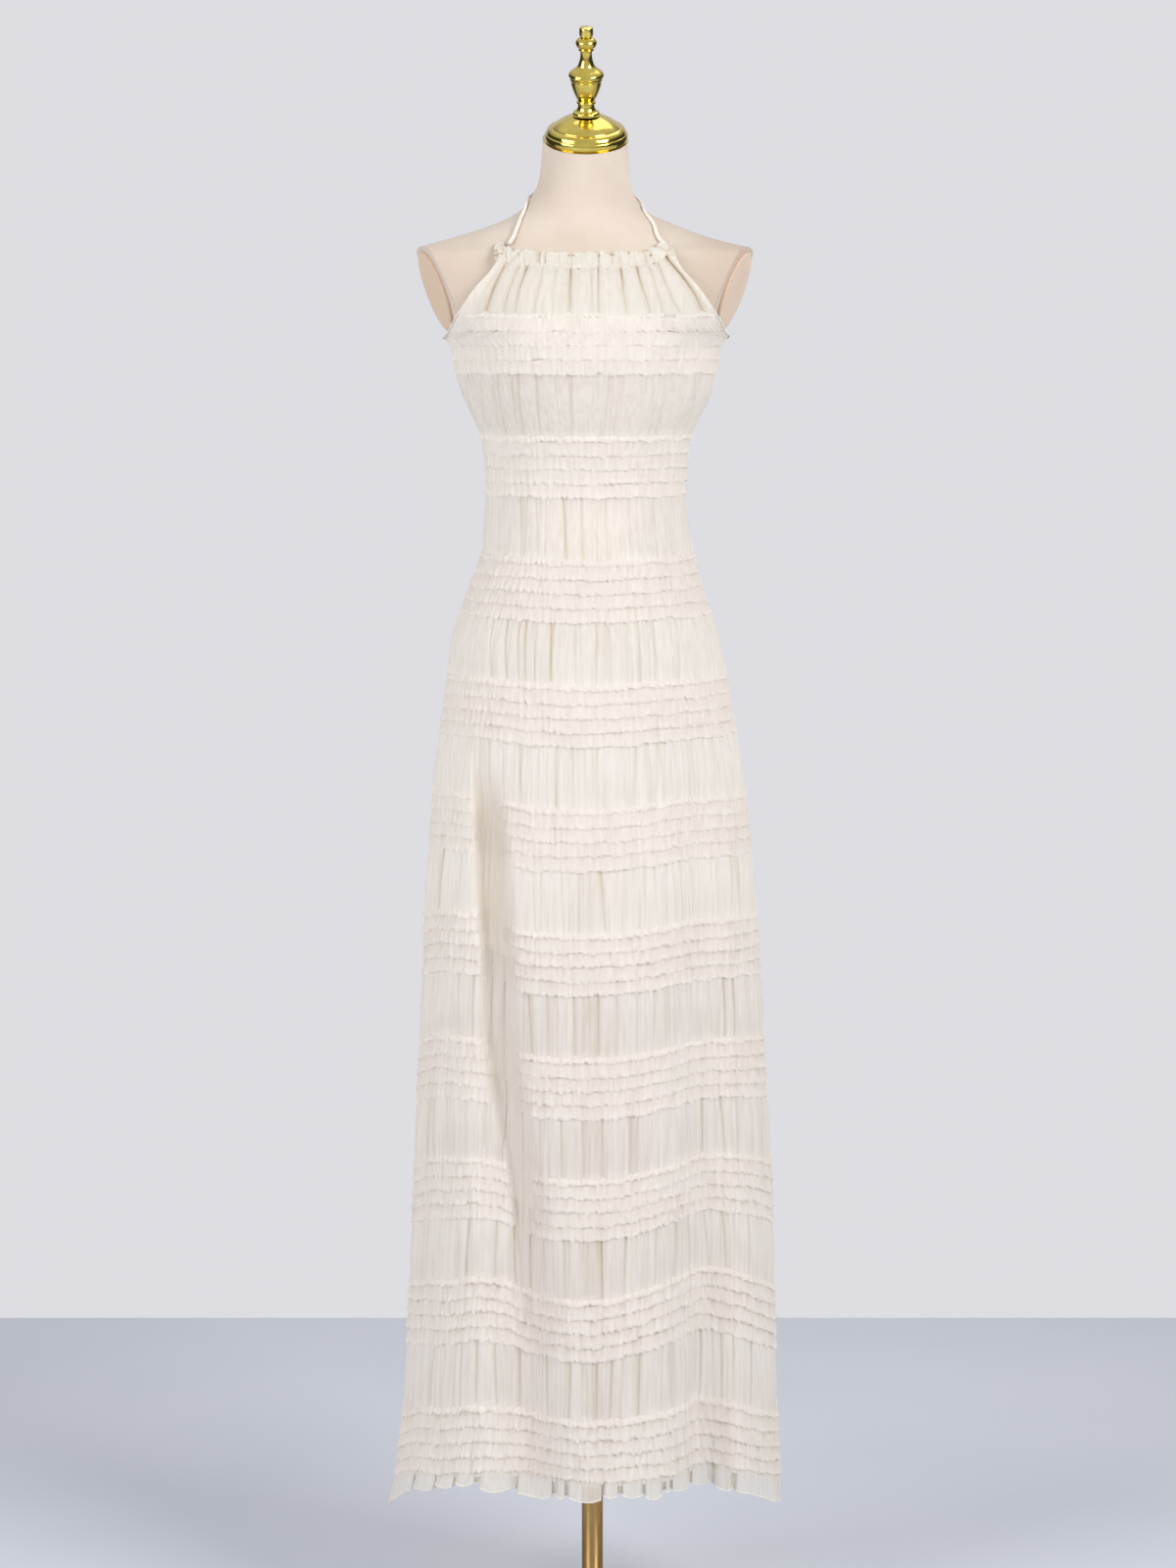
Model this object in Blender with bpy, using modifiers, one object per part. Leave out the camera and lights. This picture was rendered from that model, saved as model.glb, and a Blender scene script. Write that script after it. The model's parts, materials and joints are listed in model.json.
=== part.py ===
"""A halter maxi dress of crinkled chiffon, on a limbless dress form with a brass cap and pole.

Metres, +Z up. The origin is on the floor under the pole, and the dress faces -Y.
Angles round the figure start at its left side as seen from the front (-X), and run over the
front (90 degrees), the right side (180) and the back (270).
"""

import math

import bmesh
import bpy
import numpy as np
from mathutils import Euler, Vector

# Driving dimensions.
FIGURE_X = -0.006  # the figure's centre line, beside the pole's axis
EASE = 0.006  # from the form's cover to the middle of the cloth
CLOTH_WALL = 0.002
GAP = 0.0003  # between pieces that meet

BANDS = 10
BAND_TOP = 1.466  # middle of the first band
BAND_STEP = 0.1358  # from the middle of a band to the next one's
ROWS = 5  # frill rows in a band
ROW_STEP = 0.0155
ROW_PROUD = 0.004  # how far a frill row stands off the cloth
COLUMNS_ROUND = 16  # faces across each of the two panels

UNDERARM = 1.475  # where the side seams end
YOKE_TOP = 1.5495
HEM_SEAM = 0.2095
HEM = 0.188
HEM_WAVES = 12  # on each side, so that four columns a wave match the panels
HEM_WAVE = 0.006  # half of a wave's depth
HEM_FLARE = 0.006

FOLD_START = 1.03  # the skirt's folds begin here and deepen down to the hem

ARM_HEIGHT = 1.527  # middle of the flat where an arm would start
ARM_REACH = {"left": 0.167, "right": 0.162}
ARM_TILT = math.radians(20)
ARM_TURN = math.radians(13)
PLATE_THICK = 0.003
PLATE_DEEP = 0.051  # half sizes of the plate
PLATE_TALL = 0.046
PLATE_POINTS = 28

NECK_TOP = Vector((FIGURE_X - 0.001, -0.012, 1.692))
NECK_TILT = math.radians(21)
CUTTER_SIDE = 0.3

STRAP_RADIUS = 0.0025
KNOT_RADIUS = 0.008

POLE_RADIUS = 0.0122
COLLAR_RADIUS = 0.030
COLLAR_HEIGHT = 0.034
BASE_RADIUS = 0.170
BASE_EDGE = 0.008
HUB_RADIUS = 0.032
HUB_TOP = 0.034

# The form's cover: half widths and depths from its centre line, by height.
SIZES = ("height", "left", "right", "front", "back")
FIGURE = (
    (0.930, 0.154, 0.157, 0.104, 0.106),
    (0.950, 0.160, 0.163, 0.109, 0.111),
    (1.000, 0.164, 0.167, 0.112, 0.115),
    (1.059, 0.155, 0.156, 0.111, 0.114),
    (1.097, 0.150, 0.150, 0.107, 0.112),
    (1.144, 0.144, 0.140, 0.102, 0.107),
    (1.195, 0.126, 0.123, 0.095, 0.096),
    (1.240, 0.111, 0.111, 0.086, 0.082),
    (1.285, 0.107, 0.104, 0.078, 0.074),
    (1.330, 0.107, 0.104, 0.082, 0.074),
    (1.367, 0.112, 0.110, 0.091, 0.080),
    (1.416, 0.133, 0.132, 0.108, 0.088),
    (1.445, 0.142, 0.139, 0.117, 0.092),
    (1.466, 0.145, 0.142, 0.119, 0.095),
    (1.482, 0.160, 0.156, 0.117, 0.097),
    (1.500, 0.183, 0.178, 0.113, 0.098),
    (1.530, 0.206, 0.200, 0.104, 0.097),
    (1.560, 0.212, 0.206, 0.090, 0.090),
    (1.572, 0.204, 0.198, 0.082, 0.084),
    (1.579, 0.176, 0.164, 0.076, 0.080),
    (1.588, 0.143, 0.131, 0.069, 0.075),
    (1.600, 0.106, 0.099, 0.062, 0.068),
    (1.614, 0.077, 0.067, 0.057, 0.060),
    (1.626, 0.065, 0.056, 0.055, 0.052),
    (1.645, 0.055, 0.0485, 0.055, 0.044),
    (1.669, 0.051, 0.046, 0.057, 0.039),
    (1.695, 0.0495, 0.045, 0.060, 0.036),
    (1.735, 0.0490, 0.0445, 0.064, 0.032),
)
FIGURE_POINTS = 28  # round each of the form's sections
FORM_BOTTOM = FIGURE[0][0]

# The same for the skirt, where it hangs free of the form.
SKIRT = (
    (0.130, 0.226, 0.226, 0.152, 0.151),
    (0.180, 0.219, 0.221, 0.150, 0.149),
    (0.244, 0.211, 0.217, 0.148, 0.146),
    (0.380, 0.203, 0.214, 0.144, 0.141),
    (0.515, 0.197, 0.210, 0.139, 0.136),
    (0.650, 0.191, 0.202, 0.134, 0.132),
    (0.787, 0.184, 0.194, 0.129, 0.128),
    (0.852, 0.182, 0.189, 0.127, 0.126),
    (0.925, 0.176, 0.182, 0.124, 0.124),
)
ON_FORM = 0.99  # the cloth follows the form from this height up
CLOTH = SKIRT + tuple(
    (row[0], *(size + EASE for size in row[1:])) for row in FIGURE if row[0] > ON_FORM
)

# The skirt's soft folds: the angles where each starts and ends, its depth at the hem and its
# spread in degrees.
FOLDS = (
    (47, 70, 0.030, 11),
    (133, 131, 0.028, 10),
    (222, 228, 0.026, 11),
    (268, 262, 0.016, 12),
    (316, 309, 0.028, 11),
)

# How far the cloth's rows lie above their height at the middle of the front, for each band and
# the hem, at the left side, the left lobe, the front, the right fold and the right side.
LIFT_ANGLES = (0, 35, 90, 133, 180)
LIFTS = (
    (0.000, 0.000, 0.000, 0.000, 0.000),
    (0.002, 0.001, 0.000, 0.001, 0.002),
    (0.008, 0.005, 0.000, 0.003, 0.006),
    (0.006, 0.007, 0.000, 0.005, 0.008),
    (0.011, 0.015, 0.000, 0.010, 0.008),
    (0.004, 0.017, 0.000, 0.009, 0.008),
    (-0.008, 0.012, 0.000, 0.012, 0.002),
    (-0.006, 0.017, 0.000, 0.021, -0.006),
    (-0.010, 0.021, 0.000, 0.027, -0.009),
    (-0.026, 0.009, 0.000, 0.011, -0.024),
    (-0.032, 0.003, 0.000, 0.006, -0.036),
)

# The front armhole: how far from the centre line the cloth reaches at each height.
ARMHOLE_HEIGHTS = (1.475, 1.4815, 1.489, 1.497, 1.505, 1.530, 1.551, 1.570)
ARMHOLE_REACH = (0.1600, 0.1520, 0.1480, 0.1435, 0.1380, 0.1205, 0.1020, 0.0930)

# The gathers under the neck casing: each trough's place at the top and at the first band, and
# its depth.
GATHERS = (
    (-0.090, -0.120, 0.0050),
    (-0.077, -0.102, 0.0040),
    (-0.066, -0.086, 0.0030),
    (-0.054, -0.066, 0.0035),
    (-0.041, -0.045, 0.0025),
    (-0.024, -0.027, 0.0050),
    (-0.002, -0.002, 0.0030),
    (0.010, 0.010, 0.0030),
    (0.029, 0.042, 0.0030),
    (0.050, 0.066, 0.0050),
    (0.071, 0.094, 0.0040),
    (0.086, 0.120, 0.0055),
)
YOKE_LINES = 5

# The neck casing: the height of its middle along the neckline.
CASING_PLACES = (-0.101, -0.085, -0.055, 0.000, 0.050, 0.075, 0.089)
CASING_HEIGHTS = (1.5730, 1.5660, 1.5620, 1.5600, 1.5615, 1.5670, 1.5740)
CASING_TALL = 0.019
CASING_THICK = 0.006
CASING_PUCKER = 0.0015
CASING_PUCKERS = 16

# The straps: stations on the form's cover, from the casing's end to the nape.
STRAP_ANGLES = (60.5, 56, 44, 22, 2, -28, -55, -80)
STRAP_HEIGHTS = (1.5790, 1.5880, 1.6050, 1.6195, 1.6270, 1.6360, 1.6435, 1.6460)
STRAP_POINTS = 20

# Turned profiles as radius and height above the cap's rim.
CAP_PROFILE = (
    (0.0, 0.0247),
    (0.0140, 0.0243),
    (0.0190, 0.0236),
    (0.0290, 0.0205),
    (0.0380, 0.0145),
    (0.0435, 0.0078),
    (0.0452, 0.0040),
    (0.0460, 0.0010),
    (0.0452, -0.0030),
    (0.0430, -0.0045),
    (0.0, -0.0045),
)
FINIAL_PROFILE = (
    (0.0, 0.1290),
    (0.0052, 0.1275),
    (0.0074, 0.1230),
    (0.0066, 0.1180),
    (0.0042, 0.1160),
    (0.0090, 0.1140),
    (0.0115, 0.1095),
    (0.0092, 0.1040),
    (0.0069, 0.1014),
    (0.0070, 0.0915),
    (0.0095, 0.0845),
    (0.0151, 0.0785),
    (0.0195, 0.0725),
    (0.0190, 0.0680),
    (0.0170, 0.0640),
    (0.0142, 0.0527),
    (0.0090, 0.0405),
    (0.0097, 0.0368),
    (0.0092, 0.0330),
    (0.0118, 0.0275),
    (0.0145, 0.0262),
    (0.0, 0.0250),
)
TURNED_STEPS = 20


def eased(at, places, values):
    """A cubic through a table's rows, with each row's slope taken from its neighbours."""
    places, values = np.asarray(places, float), np.asarray(values, float)
    slopes = np.gradient(values, places)
    i = np.clip(np.searchsorted(places, at) - 1, 0, len(places) - 2)
    step = places[i + 1] - places[i]
    s = np.clip((at - places[i]) / step, 0, 1)
    ends = values[i] * (2 * s**3 - 3 * s**2 + 1) + values[i + 1] * (3 * s**2 - 2 * s**3)
    turns = slopes[i] * (s**3 - 2 * s**2 + s) + slopes[i + 1] * (s**3 - s**2)
    return ends + step * turns


def size(table, name, height):
    """One of a figure table's sizes at a height."""
    heights = [row[0] for row in table]
    return eased(height, heights, [row[SIZES.index(name)] for row in table])


def wrap(table, angle, height, out=0.0):
    """Points round a figure at an angle and a height, moved out from its surface."""
    angle, height = np.broadcast_arrays(angle, height)
    left, right, front, back = (size(table, name, height) for name in SIZES[1:])
    across = np.where(np.cos(angle) > 0, left, right)
    deep = np.where(np.sin(angle) > 0, front, back)
    facing = np.stack([-np.cos(angle) * deep, -np.sin(angle) * across])
    facing = facing / np.hypot(*facing)
    x = FIGURE_X - across * np.cos(angle) + out * facing[0]
    y = -deep * np.sin(angle) + out * facing[1]
    return np.stack([x, y, height], axis=-1)


def sink(angle, height):
    """How far the skirt's folds take the cloth in."""
    fall = np.clip((FOLD_START - height) / (FOLD_START - HEM), 0, 1)
    total = np.zeros(np.broadcast(angle, height).shape)
    for start, end, depth, spread in FOLDS:
        middle = np.radians(start + (end - start) * fall)
        total += depth * fall * np.exp(-(((angle - middle) / math.radians(spread)) ** 2))
    return total


def lift(angle, height):
    """How far the cloth's rows lie above their height at the middle of the front."""
    places = [BAND_TOP - band * BAND_STEP for band in range(BANDS)] + [HEM]
    round_front = np.degrees(np.minimum(angle, 2 * math.pi - angle))
    rises = [eased(height, places[::-1], column[::-1]) for column in zip(*LIFTS)]
    total = np.zeros(np.broadcast(angle, height).shape)
    for i in range(len(LIFT_ANGLES) - 1):
        low, high = LIFT_ANGLES[i], LIFT_ANGLES[i + 1]
        s = np.clip((round_front - low) / (high - low), 0, 1)
        blend = s * s * (3 - 2 * s)
        inside = (round_front >= low) & (round_front <= high)
        total = np.where(inside, rises[i] * (1 - blend) + rises[i + 1] * blend, total)
    return total


def drape(angle, height, out=0.0):
    """The middle of the cloth, moved out."""
    return wrap(CLOTH, angle, height + lift(angle, height), out - sink(angle, height))


def front_at(table, x, height, out=0.0):
    """The point of a figure's front at a place across it and a height."""
    x, height = np.broadcast_arrays(x, height)
    across = np.where(x < 0, size(table, "left", height), size(table, "right", height))
    return wrap(table, np.arccos(np.clip(-x / across, -1, 1)), height, out)


def add_mesh(name, points, faces, material):
    """A mesh object from points and faces, with its faces turned outwards."""
    mesh = bpy.data.meshes.new(name)
    mesh.from_pydata([tuple(map(float, point)) for point in points], [], faces)
    body = bmesh.new()
    body.from_mesh(mesh)
    bmesh.ops.recalc_face_normals(body, faces=body.faces)
    body.to_mesh(mesh)
    body.free()
    mesh.materials.append(material)
    made = bpy.data.objects.new(name, mesh)
    PARTS.objects.link(made)
    return made


def quads(lines, columns, first=0, closed=False):
    """Faces of a grid of points, line by line."""
    across = columns if closed else columns - 1
    return [
        (
            first + line * columns + column,
            first + line * columns + (column + 1) % columns,
            first + (line + 1) * columns + (column + 1) % columns,
            first + (line + 1) * columns + column,
        )
        for line in range(lines - 1)
        for column in range(across)
    ]


def add_wall(name, outer, inner, at, material):
    """A thin wall between two grids. at gives, for each inner line, the outer line beside it."""
    lines, columns = outer.shape[:2]
    second = lines * columns
    faces = quads(lines, columns) + quads(len(inner), columns, second)
    for line, beside in ((0, 0), (len(inner) - 1, lines - 1)):
        near, far = beside * columns, second + line * columns
        faces += [(near + i, near + i + 1, far + i + 1, far + i) for i in range(columns - 1)]
    for column in (0, columns - 1):
        for line in range(len(inner) - 1):
            between = range(at[line], at[line + 1] + 1)
            rim = [outer_line * columns + column for outer_line in between]
            rim += [second + (line + 1) * columns + column, second + line * columns + column]
            faces.append(tuple(rim))
    points = np.concatenate([outer.reshape(-1, 3), inner.reshape(-1, 3)])
    return add_mesh(name, points, faces, material)


def add_tube(name, rings, material):
    """A closed solid through rings of points, with a flat face at each end."""
    lines, columns = rings.shape[:2]
    faces = quads(lines, columns, closed=True)
    faces += [tuple(range(columns)), tuple((lines - 1) * columns + i for i in range(columns))]
    return add_mesh(name, rings.reshape(-1, 3), faces, material)


def add_turned(name, profile, material, steps=TURNED_STEPS):
    """A turned solid: a profile from top to bottom, screwed round the Z axis."""
    mesh = bpy.data.meshes.new(name)
    points = [(radius, 0.0, height) for radius, height in profile]
    mesh.from_pydata(points, [(i, i + 1) for i in range(len(points) - 1)], [])
    mesh.materials.append(material)
    made = bpy.data.objects.new(name, mesh)
    PARTS.objects.link(made)
    turn = made.modifiers.new("Turn", "SCREW")
    turn.steps = turn.render_steps = steps
    turn.use_merge_vertices = True
    turn.merge_threshold = 0.00001
    return made


def add_material(name, colour, roughness, metallic=0.0):
    """A plain finish."""
    made = bpy.data.materials.new(name)
    made.use_nodes = True
    shader = made.node_tree.nodes["Principled BSDF"]
    shader.inputs["Base Color"].default_value = (*colour, 1.0)
    shader.inputs["Roughness"].default_value = roughness
    shader.inputs["Metallic"].default_value = metallic
    return made


def seam_angle(height):
    """Half of the gap at a side seam, as an angle."""
    return GAP / 2 / float(size(CLOTH, "front", height))


def edge_angle(height, side):
    """Where a front line ends: at the side seam, or at the armhole above it."""
    seam = seam_angle(height)
    if height <= UNDERARM:
        return seam
    reach = eased(height, ARMHOLE_HEIGHTS, ARMHOLE_REACH)
    return max(seam, math.acos(min(1.0, float(reach / size(CLOTH, side, height)))))


def band_lines(top):
    """Outer lines from the top down as (height, how far proud), and which have an inner line."""
    lines, backed = [], []
    for band in range(BANDS):
        middle = BAND_TOP - band * BAND_STEP
        for half_row in range(2 * ROWS + 1):
            height = middle + (ROWS - half_row) * ROW_STEP / 2
            height = max(height, HEM_SEAM)
            if height > top:
                continue
            if half_row in (0, ROWS - 1, 2 * ROWS) or height > UNDERARM - ROW_STEP:
                backed.append(len(lines))
            lines.append((height, ROW_PROUD * (half_row % 2)))
    return lines, backed


def make_panel(name, start, end, top, material):
    """A body panel with its frill rows, from one side seam or armhole to the other."""
    lines, backed = band_lines(top)
    half = CLOTH_WALL / 2
    rows = []
    for height, proud in lines:
        near, far = edge_angle(height, "left"), edge_angle(height, "right")
        rows.append((np.linspace(start + near, end - far, COLUMNS_ROUND + 1), height, proud))
    outer = np.array([drape(angles, height, half + proud) for angles, height, proud in rows])
    inner = np.array([drape(rows[i][0], rows[i][1], -half) for i in backed])
    return add_wall(name, outer, inner, backed, material)


def make_yoke(material):
    """The gathered stretch between the neck casing and the first band."""
    troughs = np.array(GATHERS)
    bottom = BAND_TOP + ROWS * ROW_STEP / 2 + GAP
    down = np.linspace(0, 1, YOKE_LINES)
    outer = []
    for share in down:
        height = YOKE_TOP + (bottom - YOKE_TOP) * share
        reach = float(eased(height, ARMHOLE_HEIGHTS, ARMHOLE_REACH))
        place = troughs[:, 0] + (troughs[:, 1] - troughs[:, 0]) * share
        stops = np.concatenate([[-reach], place, [reach]])
        crests = (stops[1:] + stops[:-1]) / 2
        x = np.empty(2 * len(stops) - 1)
        x[0::2], x[1::2] = stops, crests
        rise = np.zeros(len(x))
        rise[2:-2:2] = -troughs[:, 2] * (1 - 0.75 * share)
        rise[1::2] = 0.001
        outer.append(front_at(CLOTH, x, height, rise + EASE / 2 * (1 - share)))
    outer = np.array(outer)
    toward = outer * [0, 1, 0]
    toward = toward / np.linalg.norm(toward, axis=-1, keepdims=True)
    inner = outer - toward * CLOTH_WALL
    return add_wall("yoke_front", outer, inner, list(range(YOKE_LINES)), material)


def make_casing(material):
    """The puckered neck casing, a flat tube along the neckline."""
    x = np.linspace(CASING_PLACES[0], CASING_PLACES[-1], 2 * CASING_PUCKERS + 1)
    middle = eased(x, CASING_PLACES, CASING_HEIGHTS)
    pucker = CASING_PUCKER * np.cos(np.arange(len(x)) * math.pi)
    half, thick = CASING_TALL / 2, CASING_THICK
    outline = (
        (-half, 0.3, 0.0),
        (-half, 0.8, 0.3),
        (-half * 0.4, 1.0, 1.0),
        (half * 0.4, 1.0, 1.0),
        (half, 0.8, 0.5),
        (half, 0.3, 0.2),
    )
    rings = []
    for up, out, share in outline:
        height = middle + up + pucker * share * 0.5 * (up > 0)
        rings.append(front_at(CLOTH, x, height, out * thick + share * pucker))
    return add_tube("neck_casing", np.array(rings).transpose(1, 0, 2), material)


def make_frill(name, start, end, material):
    """The loose hem frill of one side, in irregular box-shaped waves."""
    seam = seam_angle(HEM_SEAM)
    columns = 4 * HEM_WAVES
    angle = np.linspace(start + seam, end - seam, columns + 1)
    share = np.linspace(0, 1, columns + 1)
    uneven = share + 0.018 * np.sin(7 * math.pi * share) + 0.012 * np.sin(11 * math.pi * share)
    wave = np.tanh(2.0 * np.sin(2 * math.pi * HEM_WAVES * uneven)) * HEM_WAVE
    fade = np.clip(np.minimum(share, 1 - share) * 2 * HEM_WAVES, 0, 1)
    stops = np.linspace(0, 1, COLUMNS_ROUND + 1)
    sides = []
    for out in (CLOTH_WALL / 2, -CLOTH_WALL / 2):
        seam_line = drape(np.linspace(start + seam, end - seam, COLUMNS_ROUND + 1), HEM_SEAM, out)
        top = np.stack([np.interp(share, stops, seam_line[:, axis]) for axis in range(3)], axis=-1)
        lines = [top - [0, 0, GAP]]
        for down in (0.4, 1.0):
            height = HEM_SEAM + (HEM - HEM_SEAM) * down
            lines.append(drape(angle, height, out + (wave * fade + HEM_FLARE) * down))
        sides.append(np.array(lines))
    return add_wall(name, *sides, [0, 1, 2], material)


def make_strap(name, side, material):
    """A rouleau strap from the casing's end round the neck to the nape."""
    steps = np.linspace(0, 1, STRAP_POINTS)
    stations = np.linspace(0, 1, len(STRAP_ANGLES))
    angle = np.radians(eased(steps, stations, STRAP_ANGLES))
    height = eased(steps, stations, STRAP_HEIGHTS)
    if side > 0:
        angle = math.pi - angle
    route = wrap(FIGURE, angle, height, STRAP_RADIUS + EASE / 2)
    curve = bpy.data.curves.new(name, "CURVE")
    curve.dimensions = "3D"
    curve.bevel_depth = STRAP_RADIUS
    curve.bevel_resolution = 1
    curve.use_fill_caps = True
    spline = curve.splines.new("POLY")
    spline.points.add(len(route) - 1)
    spline.points.foreach_set("co", np.hstack([route, np.ones((len(route), 1))]).ravel())
    curve.materials.append(material)
    made = bpy.data.objects.new(name, curve)
    PARTS.objects.link(made)
    return made


def make_knot(material):
    """The straps' small knot at the nape."""
    bpy.ops.mesh.primitive_uv_sphere_add(segments=12, ring_count=8, radius=KNOT_RADIUS)
    knot = bpy.context.object
    knot.name = knot.data.name = "strap_knot"
    place = wrap(FIGURE, 1.5 * math.pi, STRAP_HEIGHTS[-1], KNOT_RADIUS + EASE / 2)
    knot.scale = (0.85, 0.7, 1.0)
    knot.location = place
    knot.data.materials.append(material)
    move_to_parts(knot)


def move_to_parts(made):
    """Takes an object out of the scene's own collection into the part's."""
    for holder in made.users_collection:
        holder.objects.unlink(made)
    PARTS.objects.link(made)


def add_cutter(name, location, rotation):
    """A hidden box that cuts the form."""
    bpy.ops.mesh.primitive_cube_add(size=CUTTER_SIDE)
    cutter = bpy.context.object
    cutter.name = cutter.data.name = name
    cutter.location = location
    cutter.rotation_euler = rotation
    cutter.hide_render = True
    cutter.display_type = "WIRE"
    for holder in cutter.users_collection:
        holder.objects.unlink(cutter)
    CUTTERS.objects.link(cutter)
    return cutter


def arm_frame(name):
    """Which way an arm faces, and the middle and the turn of its plate's plane."""
    side = -1 if name == "left" else 1
    middle = Vector((FIGURE_X + side * ARM_REACH[name], 0, ARM_HEIGHT))
    return side, middle, Euler((0, side * ARM_TILT, side * -ARM_TURN))


def make_torso(material):
    """The form's covered torso and neck, cut flat at the arms and the neck."""
    heights = np.array([row[0] for row in FIGURE])
    angles = np.linspace(0, 2 * math.pi, FIGURE_POINTS, endpoint=False)
    torso = add_tube("form_torso", wrap(FIGURE, angles[None, :], heights[:, None]), material)
    cuts = []
    for name in ARM_REACH:
        side, middle, turn = arm_frame(name)
        place = middle + turn.to_matrix() @ Vector((side * CUTTER_SIDE / 2, 0, 0))
        cuts.append(add_cutter(f"cut_arm_{name}", place, turn))
    turn = Euler((NECK_TILT, 0, 0))
    place = NECK_TOP + turn.to_matrix() @ Vector((0, 0, CUTTER_SIDE / 2))
    cuts.append(add_cutter("cut_neck", place, turn))
    for cutter in cuts:
        cut = torso.modifiers.new(cutter.name, "BOOLEAN")
        cut.operation = "DIFFERENCE"
        cut.object = cutter
    return torso


def make_arm_plate(name, material):
    """The flat oval plate where an arm would start."""
    side, middle, turn = arm_frame(name)
    curve = bpy.data.curves.new(f"arm_plate_{name}", "CURVE")
    curve.dimensions = "2D"
    curve.fill_mode = "BOTH"
    curve.extrude = PLATE_THICK / 2
    spline = curve.splines.new("POLY")
    spline.points.add(PLATE_POINTS - 1)
    for i, point in enumerate(spline.points):
        angle = 2 * math.pi * i / PLATE_POINTS
        point.co = (PLATE_TALL * math.cos(angle), PLATE_DEEP * math.sin(angle), 0, 1)
    spline.use_cyclic_u = True
    curve.materials.append(material)
    made = bpy.data.objects.new(curve.name, curve)
    upright = Euler((0, math.pi / 2, 0)).to_matrix()
    made.rotation_euler = (turn.to_matrix() @ upright).to_euler()
    made.location = middle + turn.to_matrix() @ Vector((side * (PLATE_THICK / 2 + GAP), 0, 0))
    PARTS.objects.link(made)


def make_neck_fittings(brass):
    """The brass cap on the neck, and its turned finial."""
    for name, profile, gap in (("neck_cap", CAP_PROFILE, GAP), ("finial", FINIAL_PROFILE, 2 * GAP)):
        piece = add_turned(name, profile, brass)
        turn = Euler((NECK_TILT, 0, 0))
        piece.rotation_euler = turn
        lowest = -CAP_PROFILE[-1][1]
        piece.location = NECK_TOP + turn.to_matrix() @ Vector((0, 0, lowest + gap))


def make_stand(brass, base_finish):
    """The pole, its collar under the form, and the round base."""
    bottom = HUB_TOP + GAP
    top = FORM_BOTTOM - GAP
    bpy.ops.mesh.primitive_cylinder_add(
        vertices=24, radius=POLE_RADIUS, depth=top - bottom, location=(0, 0, (top + bottom) / 2)
    )
    pole = bpy.context.object
    pole.name = pole.data.name = "pole"
    pole.data.materials.append(brass)
    move_to_parts(pole)
    inside = POLE_RADIUS + GAP
    ring = (
        (inside, top),
        (COLLAR_RADIUS, top),
        (COLLAR_RADIUS, top - COLLAR_HEIGHT * 0.4),
        (COLLAR_RADIUS * 0.65, top - COLLAR_HEIGHT),
        (inside, top - COLLAR_HEIGHT),
        (inside, top),
    )
    add_turned("pole_collar", ring, brass, 24)
    disc = (
        (0.0, HUB_TOP),
        (HUB_RADIUS * 0.6, HUB_TOP),
        (HUB_RADIUS * 0.75, HUB_TOP * 0.75),
        (HUB_RADIUS, BASE_EDGE * 1.9),
        (BASE_RADIUS * 0.55, BASE_EDGE * 1.3),
        (BASE_RADIUS - 0.002, BASE_EDGE),
        (BASE_RADIUS, BASE_EDGE - 0.002),
        (BASE_RADIUS, 0.0),
        (0.0, 0.0),
    )
    add_turned("base", disc, base_finish, 32)


def main():
    chiffon = add_material("chiffon", (0.86, 0.80, 0.70), 0.85)
    cover = add_material("form_cover", (0.80, 0.68, 0.56), 0.9)
    plate = add_material("arm_plate_cover", (0.76, 0.60, 0.50), 0.9)
    gold = add_material("polished_brass", (0.83, 0.62, 0.25), 0.15, 1.0)
    brass = add_material("brushed_brass", (0.68, 0.50, 0.24), 0.35, 1.0)
    make_panel("dress_front", 0, math.pi, math.inf, chiffon)
    make_panel("dress_back", math.pi, 2 * math.pi, UNDERARM, chiffon)
    make_yoke(chiffon)
    make_casing(chiffon)
    make_frill("hem_frill_front", 0, math.pi, chiffon)
    make_frill("hem_frill_back", math.pi, 2 * math.pi, chiffon)
    make_strap("strap_left", -1, chiffon)
    make_strap("strap_right", 1, chiffon)
    make_knot(chiffon)
    make_torso(cover)
    for name in ARM_REACH:
        make_arm_plate(name, plate)
    make_neck_fittings(gold)
    make_stand(brass, brass)


for existing in list(bpy.data.objects):
    bpy.data.objects.remove(existing, do_unlink=True)
PARTS = bpy.data.collections.new("maxi_dress")
CUTTERS = bpy.data.collections.new("cutters")
for collection in (PARTS, CUTTERS):
    bpy.context.scene.collection.children.link(collection)
main()
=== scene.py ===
"""Looks of a halter maxi dress of crinkled chiffon, worn on a limbless dress form.

Metres, +Z up. The origin is on the floor under the pole, and the dress faces -Y. Angles round
the figure start at its left side as seen from the front (-X) and run over the front (90
degrees), the right side (180) and the back (270).
"""

from __future__ import annotations

import json
import logging
import math
from dataclasses import dataclass
from enum import Enum

import bmesh
import bpy
import numpy as np
from mathutils import Euler, Matrix, Vector

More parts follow.
